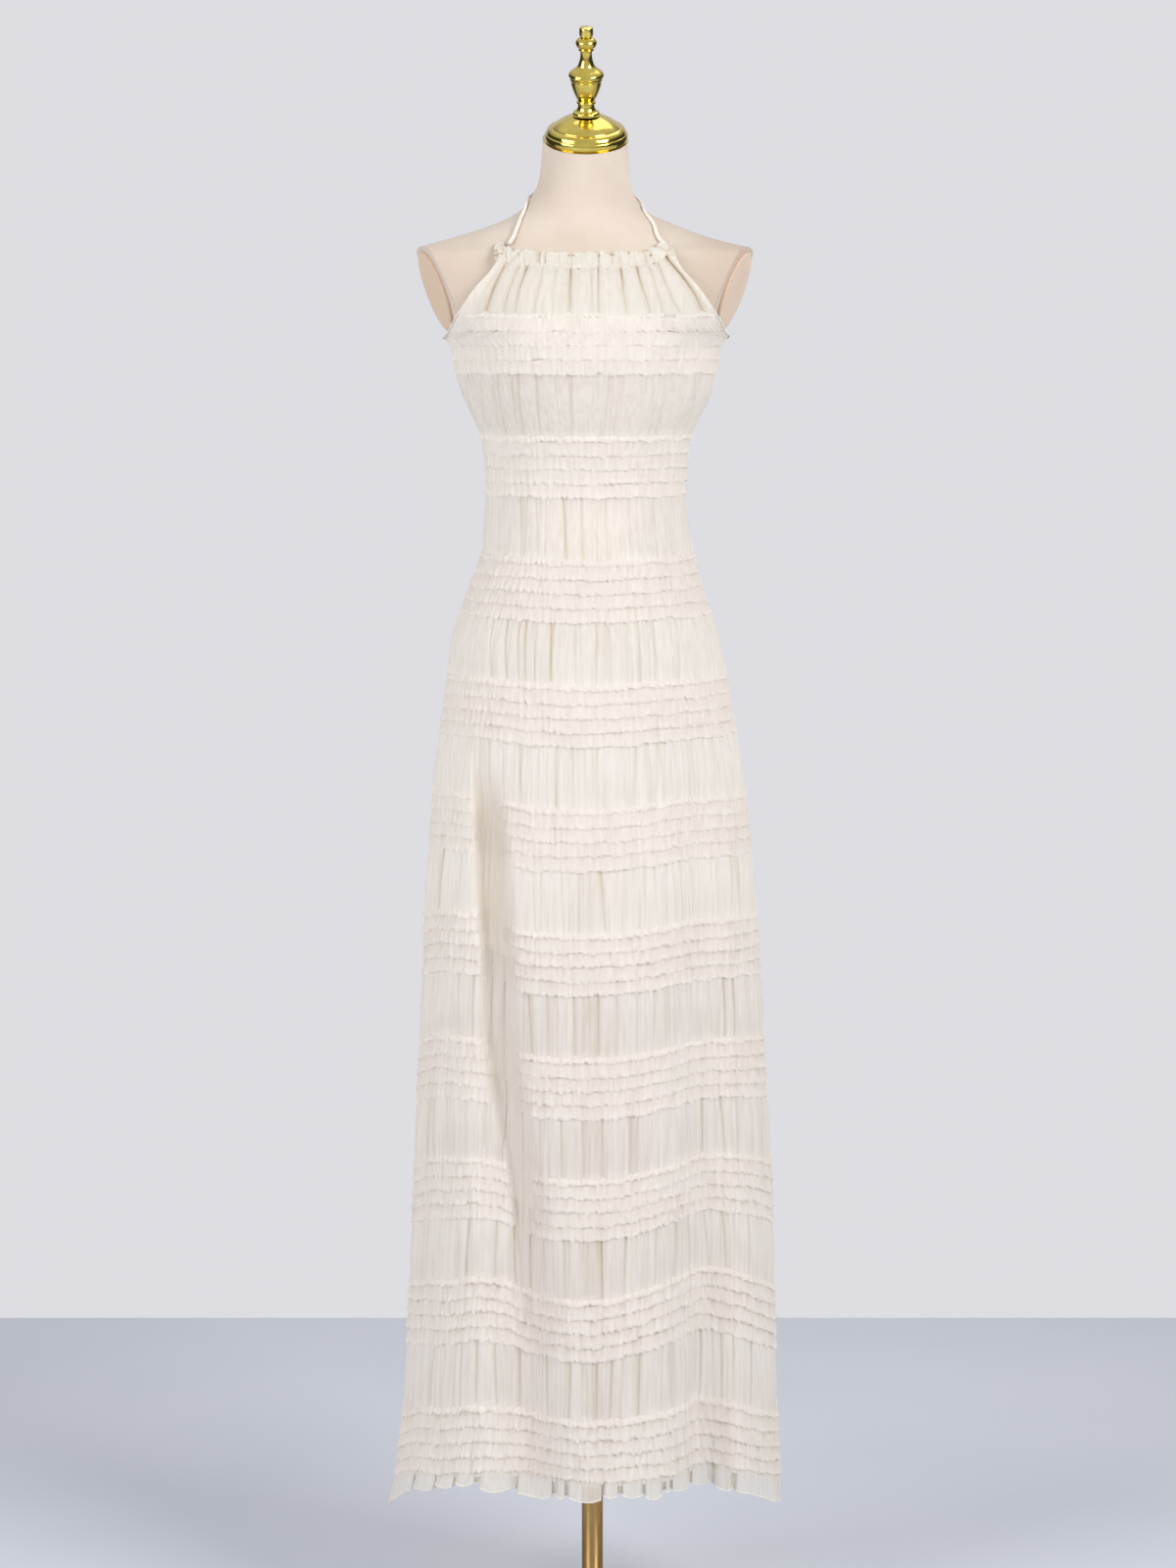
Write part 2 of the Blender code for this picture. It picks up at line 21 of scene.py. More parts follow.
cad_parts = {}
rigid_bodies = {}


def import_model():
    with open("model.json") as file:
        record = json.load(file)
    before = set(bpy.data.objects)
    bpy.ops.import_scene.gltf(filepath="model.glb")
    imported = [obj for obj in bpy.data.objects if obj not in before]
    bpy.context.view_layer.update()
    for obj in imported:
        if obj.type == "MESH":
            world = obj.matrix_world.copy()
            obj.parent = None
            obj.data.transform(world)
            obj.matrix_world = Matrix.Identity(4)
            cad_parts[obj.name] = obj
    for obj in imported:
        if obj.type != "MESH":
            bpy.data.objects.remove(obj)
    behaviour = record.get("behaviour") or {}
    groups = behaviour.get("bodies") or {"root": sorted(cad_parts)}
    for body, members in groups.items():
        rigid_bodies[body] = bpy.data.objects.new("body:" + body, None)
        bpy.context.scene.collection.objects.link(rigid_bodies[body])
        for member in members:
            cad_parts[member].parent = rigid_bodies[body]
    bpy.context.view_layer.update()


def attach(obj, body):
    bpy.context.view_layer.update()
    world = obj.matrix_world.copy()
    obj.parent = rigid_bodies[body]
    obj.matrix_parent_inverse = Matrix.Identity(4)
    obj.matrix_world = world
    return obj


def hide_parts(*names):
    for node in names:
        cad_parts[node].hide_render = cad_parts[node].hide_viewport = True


LOG = logging.getLogger("maxi_dress")
BODY = "root"

Array = np.ndarray
Random = np.random.Generator
Piece = bpy.types.Object
Node = bpy.types.Node
Socket = bpy.types.NodeSocket
Inputs = dict[str | int, object]
Pair = tuple[float, float]
Row = tuple[float, ...]
Table = tuple[Row, ...]
Profile = tuple[tuple[Pair, ...], ...]


def metres(table: Table) -> Table:
    """A table given in millimetres, in metres."""
    return tuple(tuple(value / 1000 for value in row) for row in table)


# Half widths and depths by height, in millimetres: height, left, right, front, back.
TORSO_ROWS = metres((
    (930, 154, 157, 104, 106),
    (950, 160, 163, 109, 111),
    (1000, 164, 167, 112, 115),
    (1059, 155, 156, 111, 114),
    (1097, 150, 150, 107, 112),
    (1144, 144, 140, 102, 107),
    (1195, 126, 123, 95, 96),
    (1240, 111, 111, 86, 82),
    (1285, 107, 104, 78, 74),
    (1330, 107, 104, 82, 74),
    (1367, 112, 110, 91, 80),
    (1416, 133, 132, 108, 88),
    (1445, 142, 139, 117, 92),
    (1466, 145, 142, 119, 95),
    (1482, 160, 156, 117, 97),
    (1500, 183, 178, 113, 98),
    (1530, 206, 200, 104, 97),
    (1560, 212, 206, 90, 90),
    (1572, 204, 198, 82, 84),
    (1579, 176, 164, 76, 80),
    (1588, 143, 131, 69, 75),
    (1600, 106, 99, 62, 68),
    (1614, 77, 67, 57, 60),
    (1626, 65, 56, 55, 52),
    (1645, 55, 48.5, 55, 44),
    (1669, 51, 46, 57, 39),
    (1695, 49.5, 45, 60, 36),
    (1735, 49, 44.5, 64, 32),
))
SKIRT_ROWS = metres((
    (130, 226, 226, 152, 151),
    (180, 219, 221, 150, 149),
    (244, 211, 217, 148, 146),
    (380, 203, 214, 144, 141),
    (515, 197, 210, 139, 136),
    (650, 191, 202, 134, 132),
    (787, 184, 194, 129, 128),
    (852, 182, 189, 127, 126),
    (925, 176, 182, 124, 124),
))
EASE = 0.006  # from the form's cover to the cloth
ON_FORM = 0.99  # the cloth follows the form from this height up

BANDS = 10
BAND_TOP = 1.466
BAND_STEP = 0.1358
ROWS = 5
ROW_STEP = 0.0155
BAND_MIDDLES = tuple(BAND_TOP - band * BAND_STEP for band in range(BANDS))
UNDERARM = 1.475
HEM_SEAM = 0.2095
HEM = 0.188

NECK_TOP = Vector((-0.007, -0.012, 1.692))
NECK_TILT = math.radians(21)

SIDES = ((-1, "left"), (1, "right"))


def eased(at: Array, places: Array, values: Array) -> Array:
    """A cubic through a table's rows, with each row's slope taken from its neighbours.

    Args:
        at: where the curve is read.
        places: the rows' places, rising.
        values: the rows' values.

    Returns:
        The curve's values, in the shape of at.
    """
    places, values = np.asarray(places, float), np.asarray(values, float)
    slopes = np.gradient(values, places)
    i = np.clip(np.searchsorted(places, at) - 1, 0, len(places) - 2)
    step = places[i + 1] - places[i]
    s = np.clip((at - places[i]) / step, 0, 1)
    ends = values[i] * (2 * s**3 - 3 * s**2 + 1) + values[i + 1] * (3 * s**2 - 2 * s**3)
    turns = slopes[i] * (s**3 - 2 * s**2 + s) + slopes[i + 1] * (s**3 - s**2)
    return ends + step * turns


def smooth_step(x: Array, low: float, high: float) -> Array:
    """Rises from 0 at low to 1 at high, level at both ends."""
    s = np.clip((x - low) / (high - low), 0, 1)
    return s * s * (3 - 2 * s)


def display(red: int, green: int, blue: int) -> Row:
    """A colour given as it shows on a screen, as the linear one that shaders take.

    Args:
        red: from 0 to 255.
        green: from 0 to 255.
        blue: from 0 to 255.

    Returns:
        Linear red, green and blue, and an alpha of 1.
    """
    shown = np.array([red, green, blue]) / 255
    linear = np.where(shown <= 0.04045, shown / 12.92, ((shown + 0.055) / 1.055) ** 2.4)
    return (*(float(x) for x in linear), 1.0)


# --------------------------------------------------------------------------- shapes


@dataclass(frozen=True)
class Shape:
    """A figure's surface: half ellipses in plan, whose sizes change with the height."""

    rows: Table
    centre_x: float = -0.006

    def size(self, column: int, height: Array) -> Array:
        """One of the table's sizes at a height."""
        table = np.array(self.rows)
        return eased(height, table[:, 0], table[:, column])

    def wrap(self, angle: Array, height: Array, out: Array = 0.0) -> Array:
        """Points on the surface, moved out along its level normal.

        x is minus the half width times the angle's cosine and y is minus the half depth times
        its sine; the normal is (minus cosine times depth, minus sine times width), made one long.

        Args:
            angle: angle round the figure, in radians.
            height: height over the floor.
            out: how far the points stand off the surface.

        Returns:
            Points, with their coordinates along the last axis.
        """
        angle, height = np.broadcast_arrays(angle, height)
        left, right, front, back = (self.size(i, height) for i in (1, 2, 3, 4))
        across = np.where(np.cos(angle) > 0, left, right)
        deep = np.where(np.sin(angle) > 0, front, back)
        facing = np.stack([-np.cos(angle) * deep, -np.sin(angle) * across])
        facing = facing / np.hypot(facing[0], facing[1])
        x = self.centre_x - across * np.cos(angle) + out * facing[0]
        y = -deep * np.sin(angle) + out * facing[1]
        return np.stack([x, y, height], axis=-1)

    def front_at(self, x: Array, height: Array, out: Array = 0.0) -> Array:
        """Points of the front at places across it.

        Args:
            x: distance from the centre line.
            height: height over the floor.
            out: how far the points stand off the surface.

        Returns:
            Points, with their coordinates along the last axis.
        """
        x, height = np.broadcast_arrays(x, height)
        across = np.where(x < 0, self.size(1, height), self.size(2, height))
        return self.wrap(np.arccos(np.clip(-x / across, -1, 1)), height, out)


TORSO = Shape(TORSO_ROWS)
CLOTH = Shape(
    SKIRT_ROWS + tuple((r[0], *(size + EASE for size in r[1:])) for r in TORSO_ROWS if r[0] > ON_FORM)
)


class Panel(Enum):
    """The two halves of the body, and the angles where each starts and ends."""

    FRONT = (0.0, math.pi)
    BACK = (math.pi, 2 * math.pi)

    @property
    def word(self) -> str:
        """The panel's name in piece names."""
        return self.name.lower()


@dataclass(frozen=True)
class Valley:
    """The crisp fold beside the left lobe: a steep step in, a narrow floor and a slow way out.

    Each row: height, the angle of its steep edge in degrees, and its depth.
    """

    rows: Table = (
        (0.130, 68.0, 0.001),
        (0.250, 68.0, 0.002),
        (0.380, 66.5, 0.005),
        (0.488, 62.8, 0.008),
        (0.555, 59.8, 0.008),
        (0.626, 54.0, 0.009),
        (0.690, 50.8, 0.009),
        (0.787, 48.2, 0.009),
        (0.920, 43.5, 0.008),
        (0.985, 41.0, 0.002),
        (1.030, 40.0, 0.000),
    )
    step: float = 2.2
    floor: float = 7.0
    out: float = 19.0
    bare: Pair = (10.5, 14.5)  # the frill rows start again here
    bare_low: Pair = (8.0, 11.0)  # and here under the height where it changes
    bare_change: float = 0.56
    bare_heights: Pair = (0.45, 0.97)

    def past(self, angle: Array, height: Array) -> Array:
        """How many degrees a place lies past the fold's steep edge."""
        table = np.array(self.rows)
        return np.degrees(angle) - eased(height, table[:, 0], table[:, 1])

    def depth(self, angle: Array, height: Array) -> Array:
        """How far the cloth goes in: the table's depth, faded out on both sides of the floor.

        Args:
            angle: angle round the figure, in radians.
            height: height over the floor.

        Returns:
            The depth there.
        """
        table = np.array(self.rows)
        off = self.past(angle, height)
        share = smooth_step(off, 0, self.step) * (1 - smooth_step(off, self.floor, self.out))
        return eased(height, table[:, 0], table[:, 2]) * share

    def shade(self, angle: Array, height: Array) -> Array:
        """How much painted shade a place of the fold gets: more at its steep edge.

        Args:
            angle: angle round the figure, in radians.
            height: height over the floor.

        Returns:
            The share of the painted shade, from 0 to 1.
        """
        off = self.past(angle, height)
        near_edge = smooth_step(off, -0.6, 1.6) * (1 - 0.2 * smooth_step(off, 3, 9))
        return near_edge * (1 - smooth_step(off, 11, 20))

    def covered(self, angle: Array, height: float, ragged: Pair) -> Array:
        """Where a frill row lies crushed in the fold, so that it doesn't show.

        Args:
            angle: angle round the figure, in radians.
            height: height of the row.
            ragged: how far the row's two ends are shifted, in degrees.

        Returns:
            1 where the row is hidden, 0 where it is free.
        """
        if not self.bare_heights[0] < height < self.bare_heights[1]:
            return np.zeros(np.shape(angle))
        off = self.past(angle, height)
        ends = self.bare if height > self.bare_change else self.bare_low
        left = smooth_step(off - ragged[0], -0.6, 0.8)
        return left * (1 - smooth_step(off - ragged[1], *ends))


@dataclass(frozen=True)
class Fold:
    """One large soft fold of the skirt. It starts at the hips and deepens down to the hem.

    Angles are in degrees; before and after are its spread on either side of its deepest line.
    """

    start: float
    end: float
    depth: float
    before: float
    after: float


@dataclass(frozen=True)
class Drape:
    """The worn cloth: the figure's surface with the skirt's folds and the rows' rise and fall."""

    fold_start: float = 1.03
    folds: tuple[Fold, ...] = (
        Fold(47, 70, 0.030, 7, 13),
        Fold(133, 131, 0.028, 11, 8),
        Fold(222, 228, 0.026, 11, 11),
        Fold(268, 262, 0.016, 12, 12),
        Fold(316, 309, 0.028, 11, 11),
    )
    # Rise of the rows over their height at the middle of the front, in millimetres, at these
    # angles: a line for each band from the top one down, and one for the hem.
    lift_angles: Row = (0, 35, 90, 133, 180)
    lifts: Table = metres((
        (0, 0, 0, 0, 0),
        (2, 1, 0, 1, 2),
        (8, 5, 0, 3, 6),
        (6, 7, 0, 5, 8),
        (11, 15, 0, 10, 8),
        (4, 17, 0, 9, 8),
        (-8, 12, 0, 12, 2),
        (-6, 17, 0, 21, -6),
        (-10, 21, 0, 27, -9),
        (-34, 9, 0, 11, -24),
        (-32, 3, 0, 6, -30),
    ))
    lobe_end: Pair = (40, 52)  # where the left lobe's level rows end, hips and hem
    front_start: float = 74  # and where the rows have come down to the front's
    # How far the lower rows hang below that, in millimetres: a line a height, at these angles.
    settle_angles: Row = (
        0, 10, 20, 30, 37, 43, 50, 58, 66, 90, 102, 115, 127, 141, 151, 168, 180
    )
    settle_heights: Row = (0.188, 0.2095, 0.244, 0.380, 0.515, 0.651, 0.787, 0.923)
    settle: Table = (
        (0,) * 17,
        (0.0, 4.0, 10.0, 17.0, 17.5, 14.0, 8.8, 3.3, 3.3, 4.4, 4.4, 7.0, 6.0, 11.0, 12.0, 7.0, 6.0),
        (0.0, 4.0, 10.5, 18.0, 18.5, 14.0, 8.8, 3.3, 3.3, 4.4, 4.8, 7.7, 5.5, 12.5, 15.0, 10.5, 8.0),
        (0.0, 5.0, 14.3, 18.7, 18.7, 14.3, 7.7, 1.0, 1.0, 4.4, 2.0, 0.0, 2.0, 8.5, 12.5, 12.5, 10.0),
        (5.0, 7.0, 8.8, 8.2, 7.0, 4.5, 0.0, 0.0, 2.0, 4.2, 4.0, 3.5, 3.3, 3.0, 2.0, 2.0, 2.0),
        (0.0, 0.0, 0.0, 0.0, 0.0, 0.0, 0.0, 2.0, 4.0, 4.8, 4.8, 3.0, 1.5, 1.0, 1.0, 1.0, 0.0),
        (0.0, 0.0, 0.0, 0.0, 0.0, 0.0, 0.0, 0.5, 1.5, 2.2, 2.2, 1.5, 0.0, 0.0, 0.0, 0.0, 0.0),
        (0,) * 17,
    )
    valley: Valley = Valley()
    # The valley's painted shade, at these heights.
    shade_heights: Row = (0.36, 0.60, 0.76, 0.84, 0.94, 1.00)
    shades: Row = (0.12, 0.33, 0.42, 0.62, 0.62, 0.00)  # how dark the valley is there
    # The right fold's line of painted shade: its angle and width in degrees, and how dark it is.
    line_angle: float = 138.5
    line_wide: float = 3.2
    line_dark: float = 0.20

    def fall(self, height: Array) -> Array:
        """0 where the folds start, 1 at the hem."""
        return np.clip((self.fold_start - height) / (self.fold_start - HEM), 0, 1)

    def sink(self, angle: Array, height: Array) -> Array:
        """How far the skirt's folds take the cloth in: the sum of a bell for each fold.

        Args:
            angle: angle round the figure, in radians.
            height: height over the floor.

        Returns:
            The depth of the folds there.
        """
        fall = self.fall(height)
        degrees = np.degrees(angle)
        total = np.zeros(np.broadcast(angle, height).shape)
        for fold in self.folds:
            off = degrees - (fold.start + (fold.end - fold.start) * fall)
            spread = np.where(off < 0, fold.before, fold.after)
            total = total + fold.depth * fall * np.exp(-((off / spread) ** 2))
        return total + self.valley.depth(angle, height)

    def shade(self, angle: Array, height: Array) -> Array:
        """How much painted shade the cloth gets in the folds, where it also lies in several layers, from 0 to
        1.

        Args:
            angle: angle round the figure, in radians.
            height: height over the floor.

        Returns:
            The share of the painted shade's colour there: the left valley and the right fold's line.
        """
        left = self.valley.shade(angle, height) * np.interp(height, self.shade_heights, self.shades)
        right = np.exp(-(((np.degrees(angle) - self.line_angle) / self.line_wide) ** 2))
        return left + right * smooth_step(-height, -0.6, -0.22) * self.line_dark

    def lift(self, angle: Array, height: Array) -> Array:
        """How far the rows lie above their height at the middle of the front.

        Args:
            angle: angle round the figure, in radians.
            height: height of the row at the middle of the front.

        Returns:
            The rise, blended between the table's angles and heights.
        """
        places = [*BAND_MIDDLES, HEM]
        degrees = np.degrees(np.minimum(angle, 2 * math.pi - angle))
        rises = [eased(height, places[::-1], column[::-1]) for column in zip(*self.lifts)]
        fall = self.fall(height)
        in_front = angle <= math.pi
        total = np.zeros(np.broadcast(angle, height).shape)
        for i in range(len(self.lift_angles) - 1):
            low, high = self.lift_angles[i], self.lift_angles[i + 1]
            s = np.clip((degrees - low) / (high - low), 0, 1)
            if i == 1:  # in front, the left lobe's rows stay level up to its fold
                near = self.lobe_end[0] + (self.lobe_end[1] - self.lobe_end[0]) * fall
                level = np.clip((degrees - near) / (self.front_start - near), 0, 1)
                s = np.where(in_front, s + (level - s) * np.clip(fall * 6, 0, 1), s)
            blend = s * s * (3 - 2 * s)
            inside = (degrees >= low) & (degrees <= high)
            total = np.where(inside, rises[i] * (1 - blend) + rises[i + 1] * blend, total)
        return total - self.settled(degrees, height)

    def settled(self, degrees: Array, height: Array) -> Array:
        """How far the lower rows hang down more, read from its table with straight lines between.

        Args:
            degrees: angle from the left seam, in degrees.
            height: height of the row at the middle of the front.

        Returns:
            The extra drop in metres.
        """
        table = np.array(self.settle) / 1000
        across = np.interp(degrees, self.settle_angles, np.arange(table.shape[1]))
        up = np.interp(height, self.settle_heights, np.arange(table.shape[0]))
        column = np.minimum(across.astype(int), table.shape[1] - 2)
        row = np.minimum(up.astype(int), table.shape[0] - 2)
        right, above = across - column, up - row
        lower = table[row, column] * (1 - right) + table[row, column + 1] * right
        upper = table[row + 1, column] * (1 - right) + table[row + 1, column + 1] * right
        return lower * (1 - above) + upper * above

    def point(self, angle: Array, height: Array, out: Array = 0.0) -> Array:
        """Points of the cloth, moved out from its middle: its folds sink and its rows lift."""
        return CLOTH.wrap(angle, height + self.lift(angle, height), out - self.sink(angle, height))

    def reach(self, panel: Panel, height: float) -> Pair:
        """The angles where a panel's line starts and ends.

        Args:
            panel: front or back.
            height: the line's height.

        Returns:
            The two angles: the side seams, or the armhole's edges above the underarm.
        """
        if panel is Panel.BACK or height <= UNDERARM:
            return panel.value
        width = float(eased(height, ARMHOLE_HEIGHTS, ARMHOLE_REACH))
        near = math.acos(min(1.0, width / float(CLOTH.size(1, height))))
        far = math.acos(min(1.0, width / float(CLOTH.size(2, height))))
        return near, math.pi - far

    def even_shares(self, panel: Panel, height: float, step: float) -> tuple[Array, Array]:
        """Columns that lie evenly along the cloth at one height.

        Args:
            panel: front or back.
            height: where the cloth is measured.
            step: about how far apart the columns are.

        Returns:
            Each column's share of the panel's angle, and its distance along the cloth.
        """
        start, end = self.reach(panel, height)
        share = np.linspace(0, 1, 1201)
        line = self.point(start + (end - start) * share, np.full(share.shape, height))
        along = distances(line)
        even = np.linspace(0, along[-1], int(along[-1] / step) + 2)
        return np.interp(even, along, share), even


# The front armhole: how far from the centre line the cloth reaches at each height.
ARMHOLE_HEIGHTS = (1.475, 1.4815, 1.489, 1.497, 1.505, 1.530, 1.551, 1.570)
ARMHOLE_REACH = (0.1600, 0.1520, 0.1480, 0.1435, 0.1380, 0.1205, 0.1020, 0.0930)

DRAPE = Drape()


# --------------------------------------------------------------------------- meshes


@dataclass
class Patch:
    """A grid of points that becomes part of a mesh, with what its material reads.

    along and down are distances on the cloth, for its weave. The shade value that follows them is painted
    shade, 1 deep in a pleat; chiffon is also denser where it is high. Each may be given as one line, one
    column or one number.
    """

    points: Array
    along: Array
    down: Array
    painted_shade: Array | float = 0.0
    closed: bool = False
    inward: bool = False

    def __post_init__(self) -> None:
        """Spreads along, down and crease over the whole grid."""
        for name in ("along", "down", "painted_shade"):
            setattr(self, name, np.broadcast_to(getattr(self, name), self.points.shape[:2]))

    def faces(self, first: int) -> Array:
        """Corner numbers of the grid's faces, which look outwards.

        Args:
            first: the number of the grid's first point in the mesh.

        Returns:
            One row of four numbers for each face.
        """
        lines, columns = self.points.shape[:2]
        number = first + np.arange(lines * columns).reshape(lines, columns)
        if self.closed:
            number = np.hstack([number, number[:, :1]])
        corners = [number[:-1, :-1], number[1:, :-1], number[1:, 1:], number[:-1, 1:]]
        if self.inward:
            corners.reverse()
        return np.stack(corners, axis=-1).reshape(-1, 4)


def weld(mesh: bpy.types.Mesh, outwards: bool = False) -> None:
    """Closes seams and poles by merging points that coincide.

    Args:
        mesh: the mesh.
        outwards: whether its faces are then turned outwards.
    """
    body = bmesh.new()
    body.from_mesh(mesh)
    bmesh.ops.remove_doubles(body, verts=body.verts, dist=1e-6)
    if outwards:
        bmesh.ops.recalc_face_normals(body, faces=body.faces)
    body.to_mesh(mesh)
    body.free()


def linked(name: str, data: bpy.types.ID) -> Piece:
    """A new object, put in the scene.

    Args:
        name: its name.
        data: its mesh, light or camera.

    Returns:
        The object.
    """
    made = bpy.data.objects.new(name, data)
    bpy.context.scene.collection.objects.link(made)
    return made


def add_piece(
    name: str,
    patches: list[Patch],
    material: bpy.types.Material,
    replaces: tuple[str, ...] = (),
    welded: bool = False,
    sharp: float | None = None,
    outwards: bool = False,
) -> Piece:
    """Makes one piece of the object from grids, dresses it and puts it on the body.

    Args:
        name: the piece's name.
        patches: its grids.
        material: its finish.
        replaces: solids that it stands for.
        welded: whether seams and poles are merged.
        sharp: the angle in degrees past which an edge is sharp, if any is.
        outwards: whether the faces of a welded piece are turned outwards.

    Returns:
        The piece.
    """
    points = np.concatenate([patch.points.reshape(-1, 3) for patch in patches])
    firsts = np.cumsum([0] + [patch.points[..., 0].size for patch in patches])
    faces = np.concatenate([patch.faces(first) for patch, first in zip(patches, firsts)])
    mesh = bpy.data.meshes.new(name)
    mesh.vertices.add(len(points))
    mesh.vertices.foreach_set("co", points.astype(np.float32).ravel())
    mesh.loops.add(faces.size)
    mesh.loops.foreach_set("vertex_index", faces.astype(np.int32).ravel())
    mesh.polygons.add(len(faces))
    mesh.polygons.foreach_set("loop_start", np.arange(0, faces.size, 4, dtype=np.int32))
    mesh.update(calc_edges=True)
    flat = np.concatenate([np.stack([p.along, p.down], -1).reshape(-1, 2) for p in patches])
    uv = mesh.uv_layers.new(name="UVMap")
    uv.data.foreach_set("uv", flat[faces.ravel()].astype(np.float32).ravel())
    # The painted shade goes to the mesh as a point attribute that the materials read.
    painted_shade = np.concatenate([patch.painted_shade.ravel() for patch in patches])
    layer = mesh.attributes.new("painted_shade", "FLOAT", "POINT")
    layer.data.foreach_set("value", painted_shade.astype(np.float32))
    if welded:
        weld(mesh, outwards)
    mesh.validate()
    mesh.shade_smooth()
    if sharp is not None:
        mesh.set_sharp_from_angle(angle=math.radians(sharp))
    mesh.materials.append(material)
    piece = linked(name, mesh)
    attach(piece, BODY)
    if replaces:
        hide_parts(*replaces)
    LOG.info("%s: %d faces", piece.name, len(piece.data.polygons))
    return piece


def distances(line: Array) -> Array:
    """How far each point of a line lies along it."""
    return np.concatenate([[0], np.cumsum(np.linalg.norm(np.diff(line, axis=0), axis=1))])


def tube(route: Array, radius: Array, sides: int) -> Patch:
    """A round tube along a route: circles square to it, carried without twist.

    Args:
        route: the points that the tube follows.
        radius: the tube's radius, one number or one for each point.
        sides: how many sides it has.

    Returns:
        The tube's grid, with its ends drawn together.
    """
    ahead = np.gradient(route, axis=0)
    ahead = ahead / np.linalg.norm(ahead, axis=1, keepdims=True)
    away = route * [1.0, 1.0, 0.0]
    away = away / np.linalg.norm(away, axis=1, keepdims=True)
    away = away - ahead * np.sum(away * ahead, axis=1, keepdims=True)
    away = away / np.linalg.norm(away, axis=1, keepdims=True)
    beside = np.cross(ahead, away)
    turn = np.linspace(0, 2 * math.pi, sides, endpoint=False)
    radius = np.broadcast_to(radius, len(route)).astype(float)[:, None, None]
    ring = away[:, None] * np.cos(turn)[None, :, None] + beside[:, None] * np.sin(turn)[None, :, None]
    ends = [route[None, i : i + 1].repeat(sides, 1) for i in (0, len(route) - 1)]
    points = np.concatenate([ends[0], route[:, None] + radius * ring, ends[1]])
    along = distances(route)
    along = np.concatenate([along[:1], along, along[-1:]])
    return Patch(points, along[:, None], turn * float(radius.mean()), closed=True, inward=True)


def spline(points: tuple[Pair, ...], fine: int) -> Array:
    """A smooth curve through profile points, with a cubic between each pair.

    Args:
        points: the points.
        fine: how many steps each pair gets.

    Returns:
        The curve's points.
    """
    table = np.array(points)
    stations = np.arange(len(table), dtype=float)
    at = np.linspace(0, len(table) - 1, (len(table) - 1) * fine + 1)
    return np.stack([eased(at, stations, table[:, 0]), eased(at, stations, table[:, 1])], axis=-1)


def placed(place: Matrix, *axes: Array | float) -> Array:
    """Points given by their coordinates along three axes, moved by a matrix."""
    matrix = np.array(place)
    return np.stack(np.broadcast_arrays(*axes), axis=-1) @ matrix[:3, :3].T + matrix[:3, 3]


def turned(runs: Profile, place: Matrix, steps: int, fine: int) -> Patch:
    """A turned surface: a profile carried round an axis.

    Args:
        runs: stretches of the profile as radius and height, from top to bottom. Each is
            smooth, and starts at the last point of the one before.
        place: puts the axis in its place.
        steps: how many faces go round.
        fine: how many faces each stretch has between two points.

    Returns:
        The surface's grid.
    """
    joined = [runs[0]] + [(before[-1], *run) for before, run in zip(runs, runs[1:])]
    profile = np.concatenate([spline(run, fine) for run in joined])
    radius, height = np.maximum(profile[:, 0], 0), profile[:, 1]
    turn = np.linspace(0, 2 * math.pi, steps, endpoint=False)
    x, y = radius[:, None] * np.cos(turn), radius[:, None] * np.sin(turn)
    points = placed(place, x, y, height[:, None])
    down = distances(np.stack([radius, height], axis=-1))
    return Patch(points, turn / (2 * math.pi), down[:, None], closed=True)


# --------------------------------------------------------------------------- finishes


